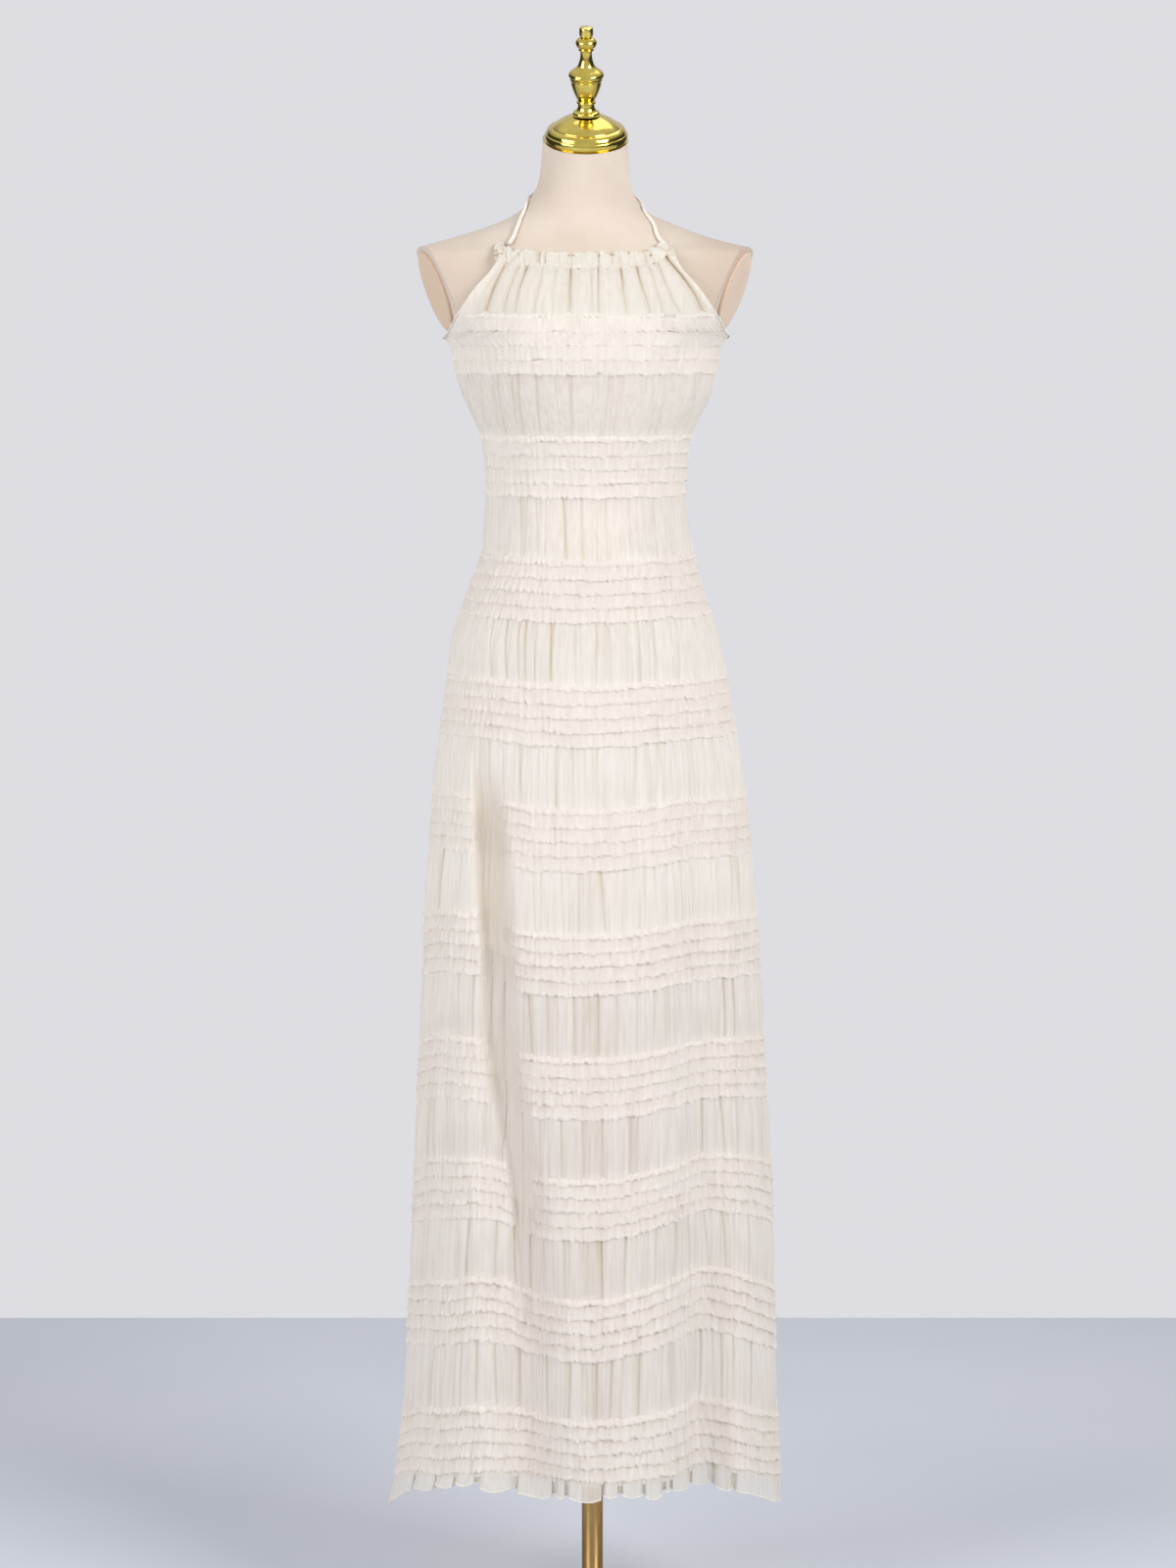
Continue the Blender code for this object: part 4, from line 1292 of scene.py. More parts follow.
@dataclass(frozen=True)
class FrillRows:
    """The shirred bands: five narrow frills each, which overlap like shingles."""

    front_step: float = 0.00095
    back_step: float = 0.0017
    ruffle: Ruffle = Ruffle((0.0042, 0.0105), (0.25, 1.25))
    wave: float = 0.0009  # how far the free edge swings in and out
    scallop: float = 0.0007  # how far it swings up and down
    uneven: float = 0.0008  # how far it hangs lower or higher
    # The frill's section: drop below its stitch line, distance off the cloth, share of the wave,
    # and how much painted shadow from the row above darkens it.
    section: Table = (
        (-0.0086, 0.0001, 0.10, 1.00),
        (-0.0068, 0.0003, 0.15, 0.66),
        (-0.0046, 0.0006, 0.20, 0.30),
        (-0.0010, 0.0007, 0.22, 0.17),
        (0.0030, 0.0012, 0.50, 0.07),
        (0.0060, 0.0021, 1.00, 0.00),
        (0.0071, 0.0016, 1.00, 0.00),
    )
    # The same for a band's first row, which comes out of the plain cloth.
    first_out: Row = (-0.0030, -0.0028, -0.0024, -0.0012, 0.0008, 0.0019, 0.0015)
    top_sunk: float = 0.0012  # how much later the topmost row comes out
    stitch_above: float = 0.0074  # the stitch line lies this far over the row's own height
    # At each band's height, from the lowest, and above the top one: how dark the painted shadow
    # under the rows is, and how far they stand off.
    shadow_heights: Row = (
        0.244, 0.380, 0.515, 0.651, 0.787, 0.923, 1.059, 1.194, 1.330, 1.440, 1.500
    )
    shadows: Row = (0.66, 0.72, 0.52, 0.50, 0.57, 0.36, 0.42, 0.39, 0.26, 0.24, 0.06)
    stands: Row = (0.95, 1.00, 0.78, 0.78, 0.92, 0.70, 0.90, 0.95, 0.78, 0.62, 0.45)
    rough: Pair = (1.0, 0.5)  # how crumpled the rows are, at these heights
    rough_heights: Pair = (0.50, 1.47)
    crumb: float = 0.0024  # the crumples' spacing along the row
    crumple: float = 0.00046  # and how far they swing in and out
    drift_step: float = 0.009  # spacing of the slower changes along the row
    over_underarm: float = 0.004  # the back's first stitch line may lie this far over its edge
    off: float = 0.0011  # how far the rows' own surface lies off the cloth's middle
    crushed: float = 0.0014  # how far a row sinks where it lies in the valley

    def row(self, panel: Panel, height: float, first: bool, rng: Random) -> Patch:
        """One frill: its section carried round the panel, waved in and out, along and down.

        Each line of the section is crumpled on its own as well, and short dashes of painted shadow
        lie where the row above lifts off.

        Args:
            panel: front or back.
            height: the row's height at the middle of the front.
            first: whether no row lies above it, so that it comes out of the plain cloth.
            rng: the source of the uneven sizes.

        Returns:
            The frill's grid.
        """
        step = self.front_step if panel is Panel.FRONT else self.back_step
        shares, along = DRAPE.even_shares(panel, height, step)
        phase, strength = self.ruffle.waves(along, rng)
        fade = np.clip(np.minimum(along, along[-1] - along) / 0.006, 0, 1)
        knots = np.linspace(0, along[-1], int(along[-1] / self.drift_step))
        drift = np.interp(along, knots, rng.normal(0, self.uneven, len(knots)))
        lively = np.interp(along, knots, rng.uniform(0.45, 1.35, len(knots)))
        crumbs = np.linspace(0, along[-1], int(along[-1] / self.crumb))
        jagged = np.interp(along, crumbs, rng.normal(0, 1, len(crumbs)))
        shadow_dashes = np.interp(along, crumbs, rng.uniform(-1.0, 1.5, len(crumbs)))
        shadow_dashes = np.clip(shadow_dashes, 0.12, 1.1) * float(np.interp(height, self.shadow_heights, self.shadows))
        rough = float(np.interp(height, self.rough_heights, self.rough))
        flat = float(np.interp(height, self.shadow_heights, self.stands))
        slide = 0.4 * np.sin(2 * phase + 0.9) * strength / np.gradient(phase, along) / 2
        ragged = (rng.normal(0, 0.7), rng.normal(0, 1.8))
        stitch = height + self.stitch_above
        lines, creases = [], []
        for number, (drop, out, share, under) in enumerate(self.section):
            if first:
                sunk = self.top_sunk if height > BAND_TOP and number < 5 else 0.0
                drop, out, under = max(drop, -0.0052 + 0.0004 * number), self.first_out[number] - sunk, 0.0
            crumple = np.interp(along, crumbs, rng.normal(0, 1, len(crumbs)))
            level = stitch - drop
            start, end = DRAPE.reach(panel, level)
            base_angle = start + (end - start) * shares
            free = 1 - DRAPE.valley.covered(base_angle, height, ragged)
            swing = np.sin(phase + 0.4 * share) * strength
            angle = base_angle + slide * share * fade * (end - start) / along[-1]
            low = drift + 0.0008 * rough * jagged - self.scallop * np.cos(phase) * strength
            stand = out * np.where(out > 0, lively * flat * (0.3 + 0.7 * fade), 1.0)
            stand = stand + self.wave * flat * swing * share * fade
            stand = stand + self.crumple * rough * crumple * (0.4 + 0.6 * share)
            off = self.off + stand * free - self.crushed * (1 - free)
            lines.append(DRAPE.point(angle, level - low * share * fade, off))
            # Painted shade where the frill swings in and in the crumples' hollows, painted shadow under the
            # row above, and the folds' painted shade.
            pinch = np.clip(-swing, 0, 1) * 0.16 * (1 - 0.7 * share) + np.clip(-crumple, 0, 2) * 0.07
            creases.append(pinch + under * (0.25 * shadow_dashes.mean() + 1.15 * shadow_dashes) * (0.4 + 0.6 * fade) * free)
        drops = np.array([row[0] for row in self.section])
        painted_shade = np.array(creases) + DRAPE.shade(base_angle, np.full(shares.shape, height))
        return Patch(np.array(lines), along, drops[:, None] - height, np.clip(painted_shade, 0, 1.6))

    def build(self, finishes: Finishes) -> dict[Panel, list[Piece]]:
        """Makes every band of both panels, one piece a band.

        Args:
            finishes: the finishes.

        Returns:
            The bands' pieces, by panel.
        """
        made: dict[Panel, list[Piece]] = {panel: [] for panel in Panel}
        for panel in Panel:
            for band, middle in enumerate(BAND_MIDDLES):
                rng = np.random.default_rng(1000 + 50 * band + (500 if panel is Panel.BACK else 0))
                heights = [middle + (2 - row) * ROW_STEP for row in range(ROWS)]
                if panel is Panel.BACK:
                    highest = UNDERARM + self.over_underarm
                    heights = [height for height in heights if height + self.stitch_above < highest]
                patches = [self.row(panel, height, height == heights[0], rng) for height in heights]
                name = f"frills_{panel.word}_{band + 1:02d}"
                finish = finishes.frill_top if band < 2 else finishes.frill
                made[panel].append(add_piece(name, patches, finish))
        return made


@dataclass(frozen=True)
class Yoke:
    """The stretch between the neck casing and the first band, gathered into soft tubes.

    Each gather: its distance from the centre line at five heights, its depth and width, all in
    millimetres, and how strong it is at the top and at the bottom.
    """

    levels: Row = (1.572, 1.559, 1.543, 1.523, 1.503)
    gathers: Table = (
        (-84.0, -92.0, -101.0, -112.0, -122.0, 1.2, 1.3, 0.4, 0.9),
        (-74.1, -85.7, -95.0, -103.5, -110.9, 5.4, 2.0, 0.8, 1.0),
        (-66.0, -71.8, -78.5, -85.8, -91.5, 3.2, 1.3, 0.7, 0.9),
        (-60.6, -62.9, -68.2, -75.0, -78.9, 4.6, 1.5, 1.0, 0.5),
        (-53.0, -55.0, -58.5, -64.0, -68.5, 1.0, 1.1, 0.5, 0.6),
        (-46.3, -47.6, -49.3, -53.9, -58.1, 3.4, 1.5, 0.6, 0.9),
        (-32.9, -33.4, -34.3, -36.8, -37.7, 2.3, 1.2, 0.7, 0.5),
        (-26.0, -26.5, -27.4, -28.0, -29.6, 0.9, 1.0, 0.8, 0.5),
        (-17.4, -17.6, -17.9, -18.9, -19.6, 5.0, 1.9, 1.0, 0.7),
        (-8.4, -8.5, -8.8, -9.4, -10.0, 0.8, 1.0, 0.7, 0.6),
        (3.5, 3.8, 4.2, 4.6, 5.1, 2.4, 1.0, 0.8, 0.8),
        (12.3, 12.2, 12.1, 12.1, 12.1, 3.6, 1.0, 1.0, 0.8),
        (25.0, 25.5, 26.0, 27.0, 28.6, 0.9, 1.0, 0.8, 0.5),
        (33.7, 35.4, 37.2, 39.3, 42.3, 4.6, 1.5, 1.0, 0.45),
        (50.4, 52.7, 55.8, 61.9, 68.4, 4.8, 1.6, 1.0, 0.5),
        (59.6, 64.1, 70.0, 76.0, 81.5, 2.8, 1.2, 0.9, 0.7),
        (70.3, 75.2, 81.4, 89.2, 99.8, 3.6, 1.4, 0.8, 0.7),
        (79.9, 89.2, 102.3, 116.6, 126.6, 6.8, 2.1, 1.0, 0.7),
    )
    columns: int = 460
    lines: int = 44
    tucked: float = 0.0058  # how far under the casing's middle it starts
    ragged: float = 0.0026
    shirred: float = 0.013  # how far down it is crumpled by the drawn-up casing
    half_width: float = 0.0965  # of its upper edge
    half_length: float = 0.115  # of the cloth round the body
    lump: Pair = (0.0026, 0.0034)  # the crumples' spacing, along and down
    bottom: float = BAND_TOP + 2.5 * ROW_STEP - 0.011
    fine: PleatSet = PleatSet(
        (0.0060, 0.0110), (0.012, 0.018), 0.1, (0.0002, 0.0007), (0.0008, 0.0012), (0.3, 1.2), 0.001
    )

    def crumple(self, under: Array, along: Array, rng: Random) -> Array:
        """Uneven lumps of the drawn-up cloth under the casing, from about -2 to 2.

        Random numbers on an even grid, with straight lines between them.

        Args:
            under: distance below the upper edge, for each line and column.
            along: distance along the cloth, one for each column.
            rng: the source of the lumps.

        Returns:
            The lumps' height, for each line and column.
        """
        knots = np.arange(0, along[-1] + 0.003, self.lump[0])
        rows = np.array([np.interp(along, knots, rng.normal(0, 1, len(knots))) for _ in range(26)])
        place = np.clip(under / self.lump[1], 0, 24)
        low = place.astype(int)
        column = np.broadcast_to(np.arange(len(along)), under.shape)
        return rows[low, column] * (1 - place + low) + rows[low + 1, column] * (place - low)

    def build(self, finishes: Finishes) -> Piece:
        """Makes the yoke: the cloth's surface less a sharp trough along each gather.

        A trough's depth falls off sideways as exp(-distance / width), and its width grows as
        it runs down. The whole stretch is puffed out between its gathered ends. Its ragged
        upper edge lies inside the casing, and its crumpled top laps over the casing's foot.

        Args:
            finishes: the finishes.

        Returns:
            The yoke's piece.
        """
        casing = NeckCasing()
        rng = np.random.default_rng(11)
        share = np.linspace(0, 1, self.lines)[:, None] ** 1.3
        across = np.linspace(-1, 1, self.columns)[None, :]
        knots = np.linspace(-1, 1, 54)
        edge = np.interp(across, knots, rng.normal(0, self.ragged, 54))
        top = eased(across * self.half_width, casing.places, casing.heights) - self.tucked + edge
        height = top + (self.bottom - top) * share
        x = across * eased(height, ARMHOLE_HEIGHTS, ARMHOLE_REACH)
        depth = np.zeros(x.shape)
        for *path, deep, width, high, low in self.gathers:
            place = eased(height, self.levels[::-1], np.array(path[::-1]) / 1000)
            spread = width / 1000 * (0.8 + 0.7 * share)
            off = np.abs(x - place)
            strength = deep / 1000 * (high + (low - high) * share) * (1 - 0.35 * share)
            depth = depth + strength * (0.72 * np.exp(-off / spread) + 0.28 * np.exp(-off / (4 * spread)))
        along = (across[0] + 1) * self.half_length
        depth = depth + crease_relief(self.fine.draw(along[-1], rng), along, share[:, 0])
        under = top - height
        depth = depth * smooth_step(under, -0.005, 0.007)
        lumps = self.crumple(under, along, rng) * (1 - smooth_step(under, 0.3 * self.shirred, self.shirred))
        puff = 0.0024 * np.sin(math.pi * np.clip(share * 1.05, 0, 1))
        puff = puff + (0.0010 + 0.0030 * smooth_step(under, 0, 0.0040)) * (1 - share)
        puff = puff + 0.00085 * lumps * smooth_step(under, 0, 0.0020)
        points = CLOTH.front_at(x, height, 0.0008 + puff - depth)
        # Painted shade in the gathers' troughs and in the hollows of the crumples.
        painted_shade = np.clip(depth / 0.0030 - 0.18, 0, 1.35) + np.clip(-lumps - 0.4, 0, 1.5) * 0.22
        patch = Patch(points, along, -height, painted_shade)
        return add_piece("yoke", [patch], finishes.yoke, ("yoke_front",))


@dataclass(frozen=True)
class NeckCasing:
    """The drawstring casing along the neckline, drawn up into uneven puckers.

    Each pinch: its distance from the centre line, strength and width in millimetres.
    """

    places: Row = (-0.101, -0.085, -0.055, 0.000, 0.050, 0.075, 0.089)
    heights: Row = (1.5730, 1.5660, 1.5620, 1.5600, 1.5615, 1.5670, 1.5740)
    pinches: Table = (
        (-95.6, 0.50, 1.6), (-88.2, 0.60, 1.8), (-77.5, 1.20, 1.6), (-66.0, 0.50, 1.5),
        (-60.5, 0.45, 1.2), (-51.8, 1.00, 1.7), (-45.0, 0.45, 1.6), (-34.6, 0.55, 1.8), (-26.0, 0.35, 1.4),
        (-17.4, 0.95, 1.9), (-9.0, 0.35, 1.6), (-2.6, 0.50, 1.4), (5.0, 0.35, 1.4), (12.6, 0.90, 1.6),
        (20.0, 0.45, 1.4), (27.2, 0.85, 1.6), (34.2, 0.60, 1.5), (45.4, 0.80, 1.6), (51.6, 0.60, 1.5),
        (62.6, 1.10, 2.0), (70.1, 0.85, 1.4), (83.5, 1.25, 1.8),
    )
    # Small gaps between the puckers, dented in and darkened with painted shade: distance from the centre
    # line, rise over the middle, size, mm.
    shaded_gaps: Table = (
        (-51.8, 4.9, 1.5), (-19.6, 4.8, 1.2), (-15.4, 4.8, 1.2), (12.9, 5.0, 1.3), (25.8, 5.4, 1.1),
        (28.6, 5.8, 1.0), (45.4, 6.6, 1.0), (62.4, 8.0, 1.9), (69.0, 0.2, 1.2), (-74.0, 2.0, 0.9),
    )
    tall: float = 0.019
    thick: float = 0.0040
    columns: int = 420
    sides: int = 32

    def build(self, finishes: Finishes) -> Piece:
        """Makes the casing: a flat tube, pinched in and down at each gather.

        Its upper edge is tufted; its lower half is drawn thin, so that the yoke's tubes run
        up over it. Small crumples lie between the pinches.

        Args:
            finishes: the finishes.

        Returns:
            The casing's piece.
        """
        x = np.linspace(self.places[0], self.places[-1], self.columns)[:, None]
        middle = eased(x, self.places, self.heights)
        turn = np.linspace(0, 2 * math.pi, self.sides, endpoint=False)[None, :]
        rise, face = np.cos(turn), np.sin(turn)
        pinch = np.zeros((self.columns, self.sides))
        for place, strength, width in self.pinches:
            lean = math.copysign(0.8 * (place / 80) ** 4, place)
            off = np.abs(x - place / 1000 + lean * rise * self.tall / 2) / (width / 1000)
            pinch = pinch + strength * (0.75 * np.exp(-off) + 0.35 * np.exp(-off / 2.6))
        close = np.clip(np.minimum(x - x[0], x[-1] - x) / 0.005, 0, 1) ** 0.5
        rng = np.random.default_rng(23)
        tuft = np.interp(x, np.linspace(x[0, 0], x[-1, 0], 48), rng.normal(0, 0.0011, 48))
        crumbs = np.linspace(x[0, 0], x[-1, 0], 90)
        crumple = np.interp(x + 0.0006 * rise, crumbs, rng.normal(0, 1, 90))
        stitch = np.exp(-(((rise * self.tall / 2 + 0.0050) / 0.0016) ** 2))
        cord = np.exp(-(((rise * self.tall / 2 - 0.0046) / 0.0012) ** 2))
        drawn = 0.55 + 0.45 * smooth_step(rise, -0.9, 0.2)
        half_thick = self.thick / 2 * np.clip(1.2 - 0.8 * pinch, 0.2, 1.4)
        half_thick = half_thick * (1 - 0.5 * stitch - 0.2 * cord) * drawn
        half_tall = self.tall / 2 - np.where(rise > 0, 0.0030 * np.clip(pinch, 0, 1.2) - tuft, 0.0)
        up = np.sign(rise) * np.abs(rise) ** 0.8 * half_tall * close
        dimple = np.zeros(pinch.shape)
        for place, high, size in self.shaded_gaps:
            off = ((x - place / 1000) ** 2 + (up - high / 1000) ** 2) / (size / 1000) ** 2
            dimple = dimple + np.exp(-off) * (face > 0)
        out = face * half_thick * close + self.thick * 0.42 - 0.0016 * np.clip(dimple, 0, 1)
        out = out + 0.00090 * crumple * np.clip(face, 0, 1) * close
        points = CLOTH.front_at(x, middle + up, out)
        # Painted shade in the pinches, along the stitch line and in the crumples' hollows, and dark painted
        # shade in the gaps.
        painted_shade = np.clip(pinch - 0.4, 0, 1.1) * 0.8 + 0.2 * stitch * np.clip(crumple, 0, 2)
        painted_shade = painted_shade + np.clip(-crumple, 0, 2) * 0.16 + 2.0 * np.clip(dimple, 0, 1)
        patch = Patch(points, x - x[0], turn * self.tall / 6, painted_shade, closed=True)
        return add_piece("casing", [patch], finishes.yoke, ("neck_casing",), True, outwards=True)


@dataclass(frozen=True)
class Straps:
    """Two narrow rouleau straps from the casing's ends to a small knot at the nape."""

    # Stations of the left and the right strap: angle from the form's side, and height.
    angles: Table = (
        (62.5, 56.5, 46.5, 36.5, 26.0, 16.0, 2.0, -28.0, -55.0, -80.0),
        (61.0, 55.8, 46.8, 37.0, 26.0, 14.0, 0.0, -28.0, -55.0, -80.0),
    )
    heights: Table = (
        (1.5776, 1.5880, 1.5993, 1.6076, 1.6160, 1.6235, 1.6300, 1.6375, 1.6435, 1.6460),
        (1.5774, 1.5865, 1.5970, 1.6055, 1.6130, 1.6195, 1.6265, 1.6360, 1.6430, 1.6460),
    )
    radius: float = 0.0021
    knot_radius: float = 0.0023
    off: float = 0.0008  # gap to the form's cover
    knot_off: float = 0.0075

    def strap(self, side: int) -> Patch:
        """One strap: a tube along stations on the form's cover, slightly uneven in width.

        It narrows by a quarter on its way up to the neck.

        Args:
            side: -1 for the left strap, 1 for the right one.

        Returns:
            The strap's grid.
        """
        steps = np.linspace(0, 1, 150)
        number = 0 if side < 0 else 1
        stations = np.linspace(0, 1, len(self.angles[number]))
        angle = np.radians(eased(steps, stations, self.angles[number]))
        height = eased(steps, stations, self.heights[number])
        if side > 0:
            angle = math.pi - angle
        lead_in = np.clip(1 - steps / 0.10, 0, 1) * 0.003
        route = TORSO.wrap(angle, height, self.radius + self.off + lead_in)
        uneven = 1 + 0.04 * np.sin(steps * 97) + 0.03 * np.sin(steps * 41 + side)
        narrowed = 1.1 - 0.28 * smooth_step(steps, 0.0, 0.5)
        return tube(route, self.radius * uneven * narrowed, sides=12)

    def knot(self) -> Patch:
        """The knot: a tube along a trefoil curve, drawn tight.

        Returns:
            The knot's grid.
        """
        turn = np.linspace(0, 2 * math.pi, 90)
        middle = TORSO.wrap(1.5 * math.pi, self.heights[0][-1], self.knot_off)
        x = (np.sin(turn) + 2 * np.sin(2 * turn)) * 0.0017
        z = (np.cos(turn) - 2 * np.cos(2 * turn)) * 0.0019
        y = -np.sin(3 * turn) * 0.0022
        return tube(middle + np.stack([x, y, z], axis=-1), self.knot_radius, sides=10)

    def build(self, finishes: Finishes) -> None:
        """Makes both straps and the knot.

        Args:
            finishes: the finishes.
        """
        for side, word in SIDES:
            add_trim(f"halter_strap_{word}", self.strap(side), finishes, (f"strap_{word}",))
        add_trim("halter_knot", self.knot(), finishes, ("strap_knot",))


# The front flounce's petals: left and right edge in degrees, and lower height in millimetres.
PETALS = (
    (3.0, 26.4, 176.0), (27.6, 38.2, 178), (39.0, 46.4, 187), (47.4, 54.3, 195), (56.5, 65.3, 190),
    (67.0, 79.0, 183), (80.6, 83.2, 186), (84.4, 94.2, 186), (95.0, 99.0, 190), (100.4, 106.3, 189),
    (107.2, 112.5, 185), (113.8, 115.2, 190), (116.2, 124.2, 187), (125.6, 134.4, 184),
    (135.4, 140.0, 177), (141.7, 177.0, 175.0),
)


@dataclass(frozen=True)
class HemFrill:
    """The loose flounce under the last band: flat petals with the cloth folded back between."""

    column_step: float = 0.0009
    back_petals: Pair = (5.0, 13.0)  # their width in degrees
    top: float = HEM_SEAM + 0.0045
    wave: float = 0.0042
    flare: Pair = (0.0010, -0.0055)  # at the left and the right seam
    corners: Pair = (0.173, 0.176)  # how low it hangs there
    tuck: float = 0.5  # how many degrees a petal's edge laps over the fold behind it
    edge: float = 0.00075
    lines: int = 10

    def petals(self, panel: Panel) -> Array:
        """Left edge, right edge and lower height of each petal, left to right.

        Args:
            panel: front or back.

        Returns:
            A row for each petal: two angles in degrees and a height in metres.
        """
        if panel is Panel.FRONT:
            return np.array(PETALS) * [1, 1, 0.001]
        rng = np.random.default_rng(32)
        rows, at = [], 183.0
        while at < 350:
            wide = rng.uniform(*self.back_petals)
            low = rng.uniform(0.180, 0.190) - 0.012 * smooth_step(at, 325, 350)
            rows.append((at, min(at + wide, 357), low))
            at += wide + rng.uniform(1.0, 2.2)
        return np.array(rows)

    def outline(self, panel: Panel) -> tuple[Array, Array, Array, Array]:
        """The flounce's lower edge seen from below, at even steps along the cloth.

        Args:
            panel: front or back.

        Returns:
            Distance along the cloth, angle in radians, swing from -1 to 1, and lower height.
        """
        start, end = (math.degrees(angle) for angle in panel.value)
        corners = self.corners if panel is Panel.FRONT else self.corners[::-1]
        keys = [(start, 0.0, corners[0])]
        for left, right, low in self.petals(panel):
            quarter = (right - left) / 4
            tucked, edge, round_out = (-1.0, low + 0.006), (0.6, low + 0.004), (1.0, low + 0.001)
            keys += [(left + self.tuck, *tucked), (left, *edge), (left + quarter, *round_out)]
            keys.append(((left + right) / 2, 0.85, low))
            keys += [(right - quarter, *round_out), (right, *edge), (right - self.tuck, *tucked)]
        keys.append((end, 0.0, corners[1]))
        table = np.array(keys)
        gaps = np.hypot(np.radians(np.diff(table[:, 0])) * 0.19, np.diff(table[:, 1]) * self.wave)
        length = np.concatenate([[0], np.cumsum(gaps)])
        along = np.linspace(0, length[-1], int(length[-1] / self.column_step))
        angle, swing, low = (np.interp(along, length, table[:, i]) for i in range(3))
        kernel = np.array([1, 3, 4, 3, 1]) / 12
        angle, swing, low = (
            np.convolve(np.pad(values, 2, mode="edge"), kernel, "valid") for values in (angle, swing, low)
        )
        return along, np.radians(angle), swing, low

    def flounce(self, panel: Panel, seed: int) -> tuple[Patch, Array]:
        """The flounce's cloth, and the line of its free edge.

        Each line lies between the gathered seam and the edge; its swing grows as the drop to
        the power 0.7.

        Args:
            panel: front or back.
            seed: starts the uneven sizes.

        Returns:
            Its grid, and the points of its lower edge.
        """
        rng = np.random.default_rng(seed)
        along, angle, swing, low = self.outline(panel)
        small, small_strength = Ruffle((0.0045, 0.009), (0.2, 1.0)).waves(along, rng)
        fade = smooth_step(np.minimum(along, along[-1] - along), 0, 0.03)
        knots = np.linspace(0, along[-1], int(along[-1] / 0.013))
        drift = np.interp(along, knots, rng.normal(0, 0.0006, len(knots)))
        down = np.linspace(0, 1, self.lines)[:, None]
        pinch = np.sin(small) * small_strength * 0.0006 * (1 - down * 0.75)
        height = self.top + (low + drift - self.top) * down
        flare = sum(self.flare) / 2 + (self.flare[0] - self.flare[1]) / 2 * np.cos(angle)
        out = 0.0012 + (swing * self.wave * down**0.7 + pinch) * fade + flare * down
        points = DRAPE.point(angle[None, :], height, out)
        # Painted shade in the small inward waves and in the folds between the petals, and the folds' painted
        # shade.
        painted_shade = np.clip(-np.sin(small) * small_strength, 0, 1)[None, :] * (1 - down) * 0.6
        painted_shade = painted_shade + np.clip(-swing, 0, 1)[None, :] * 0.3 + DRAPE.shade(angle[None, :], height) * 0.8
        return Patch(points, along, down * 0.027, painted_shade), points[-1]

    def build(self, finishes: Finishes) -> dict[Panel, Piece]:
        """Makes the flounce of both panels, and the rolled hem along its edge.

        Args:
            finishes: the finishes.

        Returns:
            The flounces, by panel.
        """
        made = {}
        for panel in Panel:
            patch, edge = self.flounce(panel, 31 if panel is Panel.FRONT else 33)
            name = f"flounce_{panel.word}"
            made[panel] = add_piece(name, [patch], finishes.flounce, (f"hem_frill_{panel.word}",))
            add_trim(f"{name}_rolled_hem", tube(edge[::2], self.edge, sides=6), finishes)
        return made


@dataclass(frozen=True)
class Edges:
    """Narrow rolled hems along the armholes and the back's top, and the side seams."""

    roll: float = 0.0008
    seam: float = 0.0007

    def armhole(self, side: int) -> Patch:
        """The rolled hem from the casing's end down to the underarm.

        Args:
            side: -1 for the left armhole, 1 for the right one.

        Returns:
            The hem's grid.
        """
        height = np.linspace(1.571, UNDERARM, 70)
        reach = eased(height, ARMHOLE_HEIGHTS, ARMHOLE_REACH)
        uneven = 1 + 0.12 * np.sin(height * 900) + 0.08 * np.sin(height * 2300)
        return tube(CLOTH.front_at(side * reach, height, 0.0018), self.roll * uneven, sides=8)

    def end_ruffle(self, side: int) -> Patch:
        """The small sheer ruffle at a casing's end: a strip that stands off the armhole's edge.

        It starts on the edge and swings out and back in two uneven waves.

        Args:
            side: -1 for the left end, 1 for the right one.

        Returns:
            The ruffle's grid.
        """
        along = np.linspace(0, 1, 60)[None, :]
        across = np.linspace(0, 1, 9)[:, None]
        height = 1.5580 + 0.0205 * along
        reach = eased(height, ARMHOLE_HEIGHTS, ARMHOLE_REACH) - 0.003
        bulge = np.sin(math.pi * np.clip(along * 1.08, 0, 1)) ** 0.7 * (0.0110 if side < 0 else 0.0035)
        wave = np.sin(along * 15.0 + 0.6) * 0.0022 * across + np.sin(along * 31.0) * 0.0009 * across
        x = side * (reach + bulge * across + 0.0012 * np.sin(along * 23) * across)
        rise = height + 0.003 * across * np.sin(along * 9)
        points = CLOTH.front_at(x, rise, 0.0022 + wave + 0.0016 * across)
        # Painted shade in the ruffle's inward waves, and over the whole of the left ruffle.
        painted_shade = np.clip(-np.sin(along * 15.0 + 0.6), 0, 1) * 0.7 * across + (0.9 if side < 0 else 0.3)
        if side < 0:
            points, painted_shade = points[::-1], painted_shade[::-1]
        return Patch(points, along * 0.03, across * 0.012, painted_shade)

    def back_top(self) -> Patch:
        """The rolled hem along the back's top edge.

        Returns:
            The hem's grid.
        """
        angle = np.linspace(math.pi, 2 * math.pi, 260)
        uneven = 1 + 0.12 * np.sin(angle * 60) + 0.08 * np.sin(angle * 151)
        wave = 0.0006 * np.sin(angle * 47) + 0.0004 * np.sin(angle * 113)
        route = DRAPE.point(angle, np.full(angle.shape, UNDERARM), 0.0012 + wave)
        return tube(route, self.roll * uneven, sides=8)

    def side_seam(self, angle: float) -> Patch:
        """The fine ridge of a side seam, from the underarm to the hem's seam.

        Args:
            angle: the seam's angle round the figure.

        Returns:
            The ridge's grid.
        """
        height = np.linspace(UNDERARM, HEM_SEAM, 260)
        out = 0.0010 + 0.0004 * np.sin(height * 310)
        return tube(DRAPE.point(np.full(height.shape, angle), height, out), self.seam, sides=6)

    def build(self, finishes: Finishes) -> None:
        """Makes the hems, seams and end ruffles.

        Args:
            finishes: the finishes.
        """
        for side, word in SIDES:
            add_trim(f"armhole_hem_{word}", self.armhole(side), finishes)
            add_piece(f"casing_ruffle_{word}", [self.end_ruffle(side)], finishes.flounce)
            add_trim(f"side_seam_{word}", self.side_seam(0.0 if side < 0 else math.pi), finishes)
        add_trim("back_top_hem", self.back_top(), finishes)


# --------------------------------------------------------------------------- the dress form


